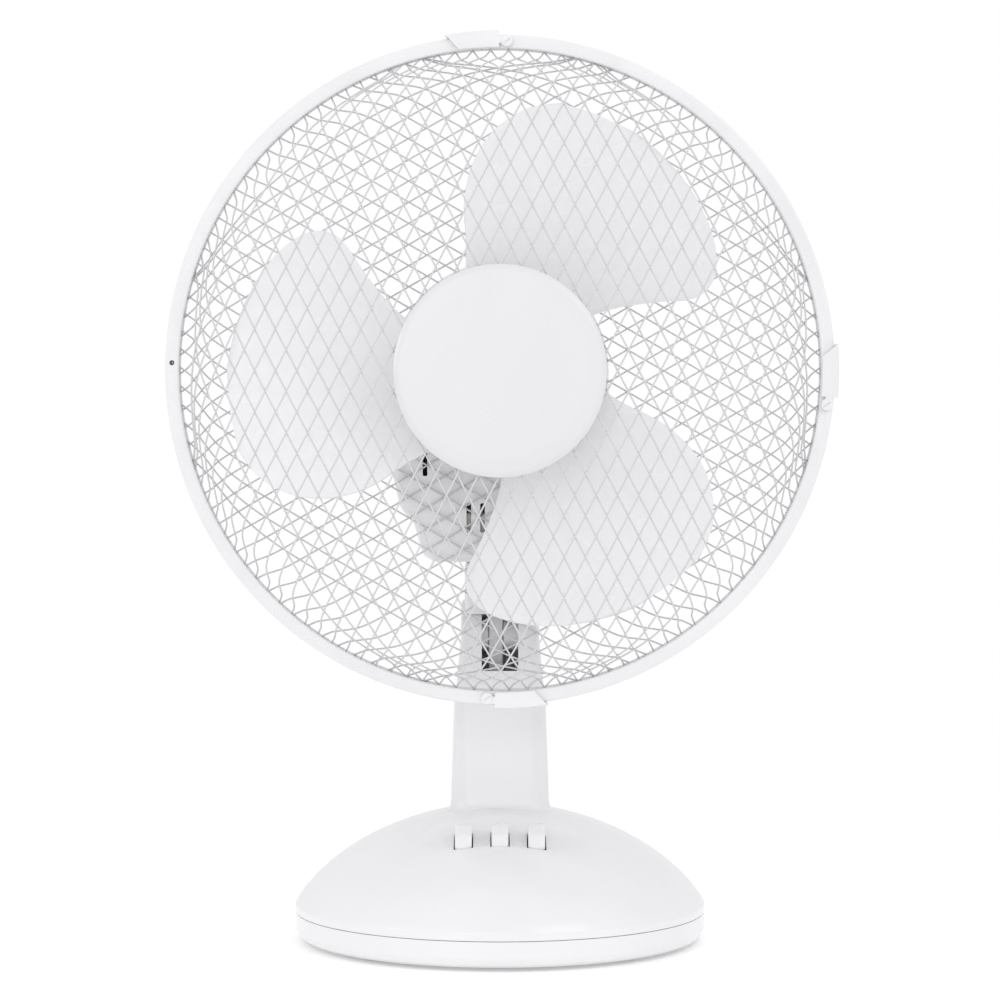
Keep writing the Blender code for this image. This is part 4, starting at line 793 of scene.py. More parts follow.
def settled(
    bm: bmesh.types.BMesh,
    joined: Sequence[bmesh.types.BMesh] = (),
    taken: Sequence[bmesh.types.BMesh] = (),
    wall: float = 0.0,
    centred: bool = False,
) -> bmesh.types.BMesh:
    """Gives a mesh its wall, joins others to it and takes others away.

    Args:
        bm: The mesh to start from.
        joined: The meshes joined to it.
        taken: The meshes taken away from it, after the joins.
        wall: The thickness that an open skin is given.
        centred: Whether the wall is laid on both sides of the skin, and not only inside it.

    Returns:
        The resulting mesh.
    """
    body = temporary(bm)
    if wall:
        shell = body.modifiers.new("wall", "SOLIDIFY")
        shell.thickness = wall
        shell.offset = 0.0 if centred else -1.0
        shell.use_even_offset = not centred
        shell.use_quality_normals = True
    helpers = []
    for operation, others in (("UNION", joined), ("DIFFERENCE", taken)):
        for other in others:
            helper = temporary(other)
            boolean = body.modifiers.new("combine", "BOOLEAN")
            boolean.operation = operation
            boolean.solver = "EXACT"
            boolean.object = helper
            helpers.append(helper)
    evaluated = body.evaluated_get(bpy.context.evaluated_depsgraph_get())
    result = bmesh.new()
    result.from_mesh(evaluated.to_mesh())
    evaluated.to_mesh_clear()
    for obj in [body, *helpers]:
        mesh = obj.data
        bpy.data.objects.remove(obj, do_unlink=True)
        bpy.data.meshes.remove(mesh)
    bmesh.ops.remove_doubles(result, verts=result.verts, dist=2e-6)
    bmesh.ops.dissolve_degenerate(result, edges=result.edges, dist=1e-6)
    return result


def add_piece(
    name: str,
    bm: bmesh.types.BMesh,
    material: bpy.types.Material,
    berth: Berth,
    matrix: Matrix | None = None,
    crease: float = 38.0,
) -> bpy.types.Object:
    """Makes a finished piece of a mesh and puts it on its body.

    Args:
        name: The piece's name.
        bm: Its mesh, which is used up.
        material: Its finish.
        berth: Its body and the nodes that it stands for.
        matrix: Where the mesh goes, if it isn't in place already.
        crease: The angle over which an edge stays sharp, in degrees.

    Returns:
        The piece's object.
    """
    if matrix is not None:
        moved(bm, matrix)
    limit = math.radians(crease)
    for face in bm.faces:
        face.smooth = True
    for edge in bm.edges:
        edge.smooth = not (edge.is_manifold and edge.calc_face_angle() > limit)
    mesh = bpy.data.meshes.new(name)
    bm.to_mesh(mesh)
    bm.free()
    mesh.materials.append(material)
    obj = bpy.data.objects.new(name, mesh)
    bpy.context.scene.collection.objects.link(obj)
    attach(obj, berth.body)
    if berth.stands_for:
        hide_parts(*berth.stands_for)
    LOG.info("%s: %d faces on %s", name, len(mesh.polygons), berth.body)
    return obj


def dress(nodes: Mapping[str, bpy.types.Object], names: Iterable[str], material: bpy.types.Material) -> None:
    """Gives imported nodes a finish.

    Args:
        nodes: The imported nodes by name.
        names: Which of them to dress.
        material: Their finish.
    """
    for name in names:
        nodes[name].data.materials.clear()
        nodes[name].data.materials.append(material)
        LOG.info("%s keeps its packed shape", name)


# Base


@dataclass
class Base:
    """The weighted foot: a domed cover on a pan, with rubber feet, three key slots and the mains inlet."""

    station: Station
    finishes: Finishes
    radius: float = 0.1064
    dome_radius: float = 0.1120
    dome_foot: float = 0.0055
    dome_rise: float = 0.0645
    dome_power: float = 0.64
    wall: float = 0.0025
    seam: float = 0.0155
    band: float = 0.0040
    scoop_centre: Point2 = (0.0030, -0.0455)
    scoop_half: Point2 = (0.0440, 0.0180)
    scoop_depth: float = 0.0046
    key_slot: Point2 = (0.0049, 0.0108)
    key_pitch: float = 0.0185
    key_y: float = -0.0500
    pan_radius: float = 0.1030
    gland_height: float = 0.0235
    pan_floor: float = 0.0020
    foot_radius: float = 0.0080
    foot_circle: float = 0.0840
    foot_height: float = 0.0017
    screw_circle: float = 0.0780

    def dome_height(self, radius: float) -> float:
        """The height of the cover's outer face at a distance from its centre."""
        return self.dome_foot + self.dome_rise * (1 - (radius / self.dome_radius) ** 2) ** self.dome_power

    def scoop(self, x: float, y: float) -> float:
        """How far the cover's face is drawn down round the keys at a point."""
        across = (x - self.scoop_centre[0]) / self.scoop_half[0]
        along = (y - self.scoop_centre[1]) / self.scoop_half[1]
        reach = across**4 + along**2
        return self.scoop_depth * (1 - reach) ** 1.4 if reach < 1 else 0.0

    def build(self) -> None:
        """Builds every piece of the base."""
        self.build_cover()
        self.build_pan()
        self.build_feet()
        self.build_gland()
        self.build_screws()

    def build_cover(self) -> None:
        """Builds the domed cover, drawn down round the keys and open for them and for the column."""
        steps, last = 44, self.radius - 0.0019
        radii = [last * math.sin(math.pi / 2 * i / steps) for i in range(steps + 1)]
        outer = [(radius, self.dome_height(radius)) for radius in radii]
        lip = self.seam + 0.00012
        edge = filleted(
            [(*outer[-1], 0.0), (self.radius, lip + self.band, 0.0016), (self.radius, lip, 0.0005), (self.radius - self.wall, lip, 0.0)]
        )
        inner = [(radius * (1 - self.wall / self.radius), height - self.wall) for radius, height in outer[:-1]]
        cover = revolved(outer + edge[1:] + inner[::-1], steps=192)
        for vert in cover.verts:
            vert.co.z -= self.scoop(vert.co.x, vert.co.y)
        half_x, half_y = self.key_slot
        corners = [(half_x, half_y, 0.0014), (-half_x, half_y, 0.0014), (-half_x, -half_y, 0.0006), (half_x, -half_y, 0.0006)]
        outline = filleted(corners, closed=True, steps=5)
        taken = []
        for column in (-1, 0, 1):
            middle = column * self.key_pitch
            taken.append(lofted([[(middle + x, self.key_y + y, z) for x, y in outline] for z in (0.0400, 0.0900)]))
        half = 0.0268
        taken.append(lofted([rounded_square(half, half, 0.0120, z, self.station.axis_y) for z in (0.0450, 0.0900)]))
        inlet = Matrix.Translation((0, 0.125, self.gland_height)) @ Matrix.Rotation(math.pi / 2, 4, "X")
        taken.append(moved(cylinder(0.0053, 0.0, 0.04, 32), inlet))
        cover = settled(cover, taken=taken)
        add_piece("base_cover_moulding", cover, self.finishes.housing, Berth("base", "housing_white", ("base_cover",)), crease=32)

    def build_pan(self) -> None:
        """Builds the bottom pan, with its rounded lower edge and a shallow step under the seam."""
        corners = [
            (0.0, self.pan_floor, 0.0),
            (self.pan_radius - 0.0012, self.pan_floor, 0.0018),
            (self.pan_radius + 0.0014, self.pan_floor + 0.0016, 0.0030),
            (self.radius - 0.0003, self.pan_floor + 0.0050, 0.0040),
            (self.radius - 0.0001, self.seam - 0.00012, 0.0003),
            (self.radius - 0.0026, self.seam - 0.00012, 0.0),
            (self.radius - 0.0028, self.pan_floor + 0.0060, 0.0030),
            (self.pan_radius - 0.0020, self.pan_floor + 0.0022, 0.0018),
            (0.0, self.pan_floor + 0.0022, 0.0),
        ]
        pan = revolved(filleted(corners, steps=5), steps=160)
        holes = [
            moved(cylinder(0.0037, -0.01, self.pan_floor + 0.0012, 24), Matrix.Translation((*polar(self.screw_circle, angle), 0)))
            for angle in (90, 210, 330)
        ]
        pan = settled(pan, taken=holes)
        add_piece("base_pan_moulding", pan, self.finishes.housing, Berth("base", "housing_white", ("base_bottom_plate",)))

    def build_feet(self) -> None:
        """Builds the four rubber feet, each a low disc with a worn rounded edge and a dimple."""
        spots = {
            "foot_front_left": (-1, -1), "foot_front_right": (1, -1), "foot_rear_left": (-1, 1), "foot_rear_right": (1, 1)
        }
        radius, height = self.foot_radius, self.foot_height
        corners = [(0, height, 0), (radius, height, 0.0003), (radius, 0, 0.0007), (radius * 0.5, 0, 0.0003), (radius * 0.42, 0.0005, 0.0003), (0, 0.0005, 0)]
        for name, (across, back) in spots.items():
            place = self.foot_circle * math.sqrt(0.5)
            foot = revolved(filleted(corners), steps=48)
            add_piece(f"{name}_pad", foot, self.finishes.rubber, Berth("base", "foot_rubber", (name,)), Matrix.Translation((across * place, back * place, 0)))

    def build_gland(self) -> None:
        """Builds the ribbed sleeve that the mains lead comes in through, with its bore open."""
        rear = self.radius - 0.0004
        corners: list[Corner] = [(0.0026, 0.0, 0.0), (0.0050, 0.0, 0.0004), (0.0050, 0.0022, 0.0004)]
        for rib in range(4):
            start = 0.0022 + rib * 0.0024
            corners += [(0.0042, start, 0.0003), (0.0042, start + 0.0010, 0.0003), (0.0048, start + 0.0010, 0.0003), (0.0048, start + 0.0024, 0.0003)]
        corners += [(0.0026, 0.0118, 0.0003), (0.0026, 0.0118, 0.0)]
        sleeve = revolved(filleted(corners[:-1], closed=True, steps=2), steps=40, closed=True)
        place = Matrix.Translation((0, rear, self.gland_height)) @ Matrix.Rotation(math.pi / 2, 4, "X")
        add_piece("cord_gland_sleeve", sleeve, self.finishes.rubber, Berth("base", "foot_rubber", ("cord_gland",)), place)

    def build_screws(self) -> None:
        """Builds the three screws under the pan."""
        for number, angle in enumerate((90, 210, 330), start=1):
            place = Matrix.Translation((*polar(self.screw_circle, angle), 0.0019)) @ Matrix.Rotation(math.pi, 4, "X")
            name = f"base_screw_{number}"
            add_piece(f"{name}_cross_head", cross_screw(0.0032, 0.0013, 0.0013, 0.0118), self.finishes.zinc, Berth("base", "bright_steel", (name,)), place)


def cross_screw(head: float, rise: float, thread: float, length: float) -> bmesh.types.BMesh:
    """A pan-head screw with a cross recess, its head above z 0 and its shank below.

    Args:
        head: The head's radius.
        rise: The head's height.
        thread: The thread's outer radius.
        length: How far the shank reaches below the head.

    Returns:
        The screw.
    """
    corners: list[Corner] = [(0.0, rise, 0.0), (head * 0.62, rise, head * 0.3), (head, rise * 0.35, head * 0.12), (head, 0.0, 0.0001)]
    pitch = 0.0009
    turns = int((length - 0.001) / pitch)
    for turn in range(turns):
        depth = -turn * pitch
        corners += [(thread * 0.78, depth - pitch * 0.35, 0.0), (thread, depth - pitch * 0.6, 0.0)]
    corners += [(thread * 0.75, -length * 0.95, 0.0), (0.0, -length, 0.0)]
    body = revolved(filleted(corners, steps=4), steps=32)
    slots = []
    for quarter in (0, 1):
        half, wide = head * 0.55, head * 0.12
        slot = block((-half, -wide, rise * 0.35), (half, wide, rise + 0.001))
        slots.append(moved(slot, Matrix.Rotation(quarter * math.pi / 2, 4, "Z")))
    return settled(body, taken=slots)


# Keys and switch


@dataclass
class KeySwitch:
    """The row of three piano keys, each on its own stem, over the switch block."""

    station: Station
    finishes: Finishes
    names: tuple[str, ...] = ("key_off", "key_low", "key_high")
    pitch: float = 0.0185
    width: float = 0.0086
    length: float = 0.0210
    centre_y: float = -0.0500
    top: float = 0.0665
    bottom: float = 0.0540
    stem_half: float = 0.0030
    stem_bottom: float = 0.0345

    def side_view(self) -> list[Point2]:
        """A key's outline from the side: a high rounded crest that runs down to its front lip."""
        half, crest = self.length / 2, self.top - self.bottom
        corners = [
            (-half, 0.0, 0.0006),
            (half, 0.0, 0.0006),
            (half, crest * 0.72, 0.0022),
            (half * 0.50, crest * 1.0, 0.0060),
            (-half * 0.10, crest * 0.97, 0.0060),
            (-half * 0.72, crest * 0.60, 0.0060),
            (-half, crest * 0.16, 0.0012),
        ]
        return filleted(corners, closed=True, steps=6)

    def build(self, nodes: Mapping[str, bpy.types.Object]) -> None:
        """Builds the keys and dresses the switch below them.

        Args:
            nodes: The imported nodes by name.
        """
        outline = self.side_view()
        middle = Vector((0.0, (self.top - self.bottom) * 0.42))
        slices = 9
        for number, name in enumerate(self.names):
            x = (number - 1) * self.pitch
            rings = []
            for step in range(-slices, slices + 1):
                swing = math.pi / 2 * step / slices
                across = math.copysign(abs(math.sin(swing)) ** 0.75, swing) * self.width / 2
                scale = 0.70 + 0.30 * max(0.0, math.cos(swing)) ** 0.42
                ring = [middle + (Vector(point) - middle) * scale for point in outline]
                rings.append([(x + across, self.centre_y + y, self.bottom + max(z, 0.0002)) for y, z in ring])
            key = lofted(rings)
            half = self.stem_half
            stem = block((x - half, self.centre_y - half, self.stem_bottom), (x + half, self.centre_y + half, self.bottom + 0.003), 0.0003)
            key = settled(key, joined=[stem])
            add_piece(f"{name}_cap", key, self.finishes.housing, Berth(name, "housing_white", (name,)))
        dress(nodes, ("switch_block",), self.finishes.switch)
        dress(nodes, ("switch_latch",), self.finishes.zinc)


# Column and neck


@dataclass
class Column:
    """The post: it flares out of the base and ends in a barrel about the tilt axis."""

    station: Station
    finishes: Finishes
    base: Base
    foot_half: float = 0.0262
    middle_half: float = 0.0238
    top_half: float = 0.0202
    foot_height: float = 0.0495
    middle_height: float = 0.1215
    corner: float = 0.0120
    barrel: float = 0.0186
    wall: float = 0.0032
    window_half: float = 0.0095
    window_bottom: float = 0.1401
    window_top: float = 0.1675

    def half_width(self, height: float) -> float:
        """Half the post's width at a height."""
        low, high = (self.foot_height, self.middle_height), (self.middle_height, self.station.tilt_height)
        if height < self.middle_height:
            share = (height - low[0]) / (low[1] - low[0])
            return self.foot_half + (self.middle_half - self.foot_half) * share
        share = (height - high[0]) / (high[1] - high[0])
        return self.middle_half + (self.top_half - self.middle_half) * share

    def section(self, height: float, inset: float = 0.0) -> list[Point3]:
        """The post's outline at a height.

        Args:
            height: The height.
            inset: How far inside the outer face the outline lies.

        Returns:
            The outline's points.
        """
        half = self.half_width(height)
        share = (height - self.foot_height) / (self.station.tilt_height - self.foot_height)
        deep = half * (1 + (self.barrel / self.top_half - 1) * share)
        corner = self.corner * (1 - 0.65 * share) - inset * 0.3
        return rounded_square(half - inset, deep - inset, corner, height, self.station.axis_y)

    def across(self, radius: float, start: float, end: float, rounding: float = 0.0) -> bmesh.types.BMesh:
        """A cylinder on the tilt axis between two places across the fan."""
        place = Matrix.Translation((0, self.station.axis_y, self.station.tilt_height)) @ Matrix.Rotation(math.pi / 2, 4, "Y")
        return moved(cylinder(radius, start, end, 72, rounding), place)

    def flare(self) -> list[list[Point3]]:
        """The rings of the skirt that sweeps out of the base and into the post."""
        rings = []
        centre = Vector((0, self.station.axis_y))
        for spread, lift in ((0.0026, -0.0012), (0.0024, 0.0002), (0.0017, 0.0005), (0.0010, 0.0012), (0.0005, 0.0022), (0.0002, 0.0036), (0.0, 0.0055)):
            ring = []
            for x, y, _ in self.section(self.base.dome_height(0.0) + lift):
                outward = Vector((x, y)) - centre
                point = Vector((x, y)) + outward.normalized() * spread
                ring.append((point.x, point.y, self.base.dome_height(point.length) + lift))
            rings.append(ring)
        return rings

    def build(self, nodes: Mapping[str, bpy.types.Object]) -> None:
        """Builds the post and dresses the bolt through it.

        Args:
            nodes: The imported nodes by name.
        """
        tilt = self.station.tilt_height
        levels = [0.082, 0.090, 0.100, 0.110, 0.117, self.middle_height, 0.126, 0.132, 0.140, 0.149, tilt]
        post = lofted([self.section(self.foot_height), *self.flare(), *[self.section(z) for z in levels]])
        inside_top = tilt - self.barrel / 2
        inner = [self.section(z, self.wall) for z in (self.foot_height, self.middle_height, inside_top)]
        inner[0] = [(x, y, self.foot_height - 0.001) for x, y, _ in inner[0]]
        y = self.station.axis_y
        half = self.window_half
        slot = block((-half, y - 0.014, inside_top - 0.004), (half, y + 0.014, tilt + 0.040))
        window = block((-half, y - 0.040, self.window_bottom), (half, y - 0.006, self.window_top + 0.004), 0.0012)
        seat = self.top_half - 0.0028
        reach = self.top_half + 0.002
        post = settled(
            post,
            joined=[self.across(self.barrel, -self.top_half, self.top_half, 0.0022)],
            taken=[lofted(inner), slot, window],
        )
        bosses = [self.across(0.0080, -seat, -0.0063), self.across(0.0080, 0.0018, seat)]
        recesses = [self.across(0.0058, -reach, -seat + 0.0003), self.across(0.0058, seat - 0.0003, reach), self.across(0.0033, -reach, reach)]
        post = settled(post, joined=bosses, taken=recesses)
        add_piece("column_moulding", post, self.finishes.housing, Berth("base", "housing_white", ("column",)), crease=34)
        dress(nodes, ("tilt_bolt", "tilt_nut", "column_screw_left", "column_screw_right"), self.finishes.zinc)


@dataclass
class Neck:
    """The saddle on the post's barrel, with its tongue in the window and the collar that the head turns on."""

    station: Station
    finishes: Finishes
    half: float = 0.0183
    skirt: float = 0.1695
    top: float = 0.1962
    corner: float = 0.0060
    collar: float = 0.0120
    collar_top: float = 0.2200
    barrel_room: float = 0.0194

    def build(self, nodes: Mapping[str, bpy.types.Object]) -> None:
        """Builds the saddle and dresses the pivot above it.

        Args:
            nodes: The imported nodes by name.
        """
        y, tilt = self.station.axis_y, self.station.tilt_height
        rings = []
        for inset, height in ((0.0004, self.skirt), (0.0, self.skirt + 0.0006), (0.0, 0.1825), (0.0, self.top - 0.0026), (0.0003, self.top - 0.0014), (0.0010, self.top - 0.0005), (0.0024, self.top)):
            rings.append(rounded_square(self.half - inset, self.half - inset, self.corner, height, y))
        across = Matrix.Translation((0, y, tilt)) @ Matrix.Rotation(math.pi / 2, 4, "Y")
        room = moved(cylinder(self.barrel_room, -0.05, 0.05, 96), across)
        saddle = settled(lofted(rings), taken=[room])
        tongue = block((-0.0060, y - 0.0070, tilt - 0.0200), (0.0015, y + 0.0070, self.top - 0.004), 0.0010)
        collar = moved(cylinder(self.collar, self.top - 0.002, self.collar_top, 64, 0.0008), Matrix.Translation((0, y, 0)))
        bolt_bore = moved(cylinder(0.0033, -0.05, 0.05, 32), across)
        pivot_bore = moved(cylinder(0.0043, self.top - 0.0160, self.collar_top + 0.02, 32), Matrix.Translation((0, y, 0)))
        saddle = settled(saddle, joined=[tongue, collar], taken=[bolt_bore, pivot_bore])
        add_piece("tilt_neck_moulding", saddle, self.finishes.housing, Berth("neck", "housing_white", ("tilt_neck",)), crease=34)
        dress(nodes, ("oscillation_shaft",), self.finishes.shaft)
        dress(nodes, ("thrust_washer",), self.finishes.bronze)
        dress(nodes, ("pivot_arm",), self.finishes.zinc)


# Motor housing


@dataclass
class MotorHousing:
    """The two-part shell round the motor, with what is fixed to it and what shows through its vents."""

    station: Station
    finishes: Finishes
    radius: float = 0.0560
    bottom: float = 0.1970
    front: float = 0.0322
    split: float = -0.0020
    straight: float = -0.0230
    back: float = -0.0700
    wall: float = 0.0020
    neck_hole: float = 0.0195
    boss_radius: float = 0.0220
    boss_end: float = 0.0410
    vent: float = 0.0024
    knob_place: Point2 = (0.0140, -0.0350)

    def outline(self, scale: float, forward: float) -> list[Point3]:
        """The shell's outline: round above the hub, drawn in by soft steps to a flat foot below it.

        Args:
            scale: How large it is, against the full outline.
            forward: Its distance forward of the upright axis.

        Returns:
            The outline's points.
        """
        depth = self.station.hub_height - self.bottom
        steps = 48
        points = [polar(self.radius, 180 * i / steps) for i in range(steps + 1)]
        lower: list[Corner] = [(-1.0, 0.0, 0.0), (-1.0, 0.50, 0.030), (-0.92, 0.715, 0.012), (-0.79, 0.80, 0.008), (-0.71, 0.965, 0.010), (-0.60, 1.0, 0.004), (0.0, 1.0, 0.0)]
        corners = [(x * self.radius, -z * depth, fillet) for x, z, fillet in lower]
        left = filleted(corners, steps=5)[1:]
        points += left + [(-x, z) for x, z in reversed(left[:-1])]
        return [tuple(self.station.spot(x * scale, forward, self.station.hub_height + z * scale)) for x, z in points]

    def build(self, nodes: Mapping[str, bpy.types.Object]) -> None:
        """Builds the shell's pieces and dresses the motor inside it.

        Args:
            nodes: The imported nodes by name.
        """
        self.build_front()
        self.build_back()
        self.build_knob()
        self.dress_motor(nodes)

    def vents(self, places: Iterable[Point3], start: float, end: float) -> list[bmesh.types.BMesh]:
        """The cutters of upright vent slots.

        Args:
            places: Each slot's place across and its two heights.
            start: Where the slots begin, forward of the upright axis.
            end: Where they end, further back.

        Returns:
            The cutters.
        """
        half = self.vent / 2
        cutters = []
        for x, low, high in places:
            near, far = self.station.spot(x - half, start, low), self.station.spot(x + half, end, high)
            corner_low = (near.x, near.y, low)
            corner_high = (far.x, far.y, high)
            cutters.append(block(corner_low, corner_high, 0.0007))
        return cutters

    def build_front(self) -> None:
        """Builds the front shell, with its vents and the boss that carries the rear guard."""
        rings = [
            self.outline(1.0, self.split + 0.0003),
            self.outline(1.0, self.front - 0.0072),
            self.outline(0.9965, self.front - 0.0048),
            self.outline(0.987, self.front - 0.0027),
            self.outline(0.970, self.front - 0.0011),
            self.outline(0.948, self.front - 0.0002),
            self.outline(0.920, self.front),
        ]
        shell = lofted(rings, (False, True))
        boss = moved(cylinder(self.boss_radius, self.front - 0.001, self.boss_end - 0.0004, 72, 0.0006), self.station.facing())
        bore = moved(cylinder(self.boss_radius - 0.003, self.front - 0.006, self.boss_end + 0.01, 72), self.station.facing())
        hole = moved(cylinder(self.neck_hole, self.bottom - 0.005, self.bottom + 0.007, 72), Matrix.Translation((0, self.station.axis_y, 0)))
        places = [(x, 0.2415, 0.2545) for x in (-0.0385, 0.0385)] + [(x, 0.2125, 0.2275) for x in (-0.0160, -0.0090, 0.0090, 0.0160)]
        shell = settled(shell, wall=self.wall)
        shell = settled(shell, joined=[boss], taken=[bore, hole, *self.vents(places, self.front + 0.003, self.front - 0.006)])
        add_piece("motor_front_shell", shell, self.finishes.motor_shell, Berth("head", "housing_white", ("motor_front_housing",)), crease=34)

    def build_back(self) -> None:
        """Builds the rounded rear shell, with its vents, its screw hole and the knob's hole."""
        rings = [self.outline(1.0, self.split - 0.0003), self.outline(1.0, self.straight * 0.6), self.outline(1.0, self.straight)]
        steps = 18
        for step in range(1, steps + 1):
            angle = math.pi / 2 * step / steps
            forward = self.straight + (self.back - self.straight) * math.sin(angle)
            rings.append(self.outline(0.46 + 0.54 * math.cos(angle), forward))
        rings.append(self.outline(0.30, self.back))
        shell = settled(lofted(rings, (False, True)), wall=self.wall)
        hub = self.station.hub_height
        hole = moved(cylinder(self.neck_hole, self.bottom - 0.005, self.bottom + 0.007, 72), Matrix.Translation((0, self.station.axis_y, 0)))
        x, forward = self.knob_place
        knob = moved(cylinder(0.0029, hub + 0.035, hub + 0.065, 32), Matrix.Translation(self.station.spot(x, forward, 0)))
        screw = moved(cylinder(0.0017, self.back - 0.004, self.back + 0.008, 24), self.station.facing())
        seat = moved(cylinder(0.0042, self.back - 0.004, self.back + 0.0006, 32), self.station.facing())
        places = [(x, low, high) for x in (-0.015, 0.0, 0.015) for low, high in ((0.3075, 0.3165), (0.2745, 0.2835))]
        taken = [hole, knob, screw, seat, *self.vents(places, self.back + 0.004, self.back - 0.004)]
        shell = settled(shell, taken=taken)
        add_piece("motor_rear_shell", shell, self.finishes.motor_shell, Berth("head", "housing_white", ("motor_rear_cover",)), crease=34)
        place = self.station.facing(self.back - 0.0002) @ Matrix.Rotation(math.pi, 4, "X")
        head = cross_screw(0.0032, 0.0011, 0.0013, 0.0070)
        add_piece("rear_cover_cross_head", head, self.finishes.zinc, Berth("head", "bright_steel", ("rear_cover_screw",)), place)

    def build_knob(self) -> None:
        """Builds the pull-up knob on its clutch pin, with a grip of fine flutes under its cap."""
        corners = [
            (0.0, 0.0150, 0.0), (0.0070, 0.0150, 0.0014), (0.0070, 0.0110, 0.0008), (0.0057, 0.0090, 0.0008),
            (0.0055, 0.0, 0.0004), (0.0025, 0.0, 0.0), (0.0025, -0.0490, 0.0003), (0.0, -0.0490, 0.0),
        ]
        knob = revolved(filleted(corners), steps=64)
        flutes = [
            moved(cylinder(0.0007, 0.0105, 0.0155, 12), Matrix.Translation((*polar(0.0073, 20 * i), 0)))
            for i in range(18)
        ]
        knob = settled(knob, taken=flutes)
        x, forward = self.knob_place
        place = Matrix.Translation(self.station.spot(x, forward, 0.3517))
        add_piece("oscillation_pull_knob", knob, self.finishes.housing, Berth("oscillation_knob", "housing_white", ("oscillation_knob",)), place)

    def dress_motor(self, nodes: Mapping[str, bpy.types.Object]) -> None:
        """Dresses the motor and the gearbox.

        Args:
            nodes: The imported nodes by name.
        """
        made = self.finishes
        dress(nodes, ("motor_frame", "front_end_bell", "gearbox_case", "gearbox_lid", "rotor_core"), made.cast)
        dress(nodes, ("stator_core",), made.sheets)
        dress(nodes, [f"stator_coil_{number}" for number in range(1, 5)], made.copper)
        dress(nodes, ("front_bearing", "rear_bearing"), made.bronze)
        dress(nodes, ("motor_shaft",), made.shaft)
        dress(nodes, ("worm_wheel", "crank_gear"), made.nylon)
        dress(nodes, ("link_arm",), made.zinc)
        dress(nodes, ("run_capacitor",), made.capacitor)


# Rotor


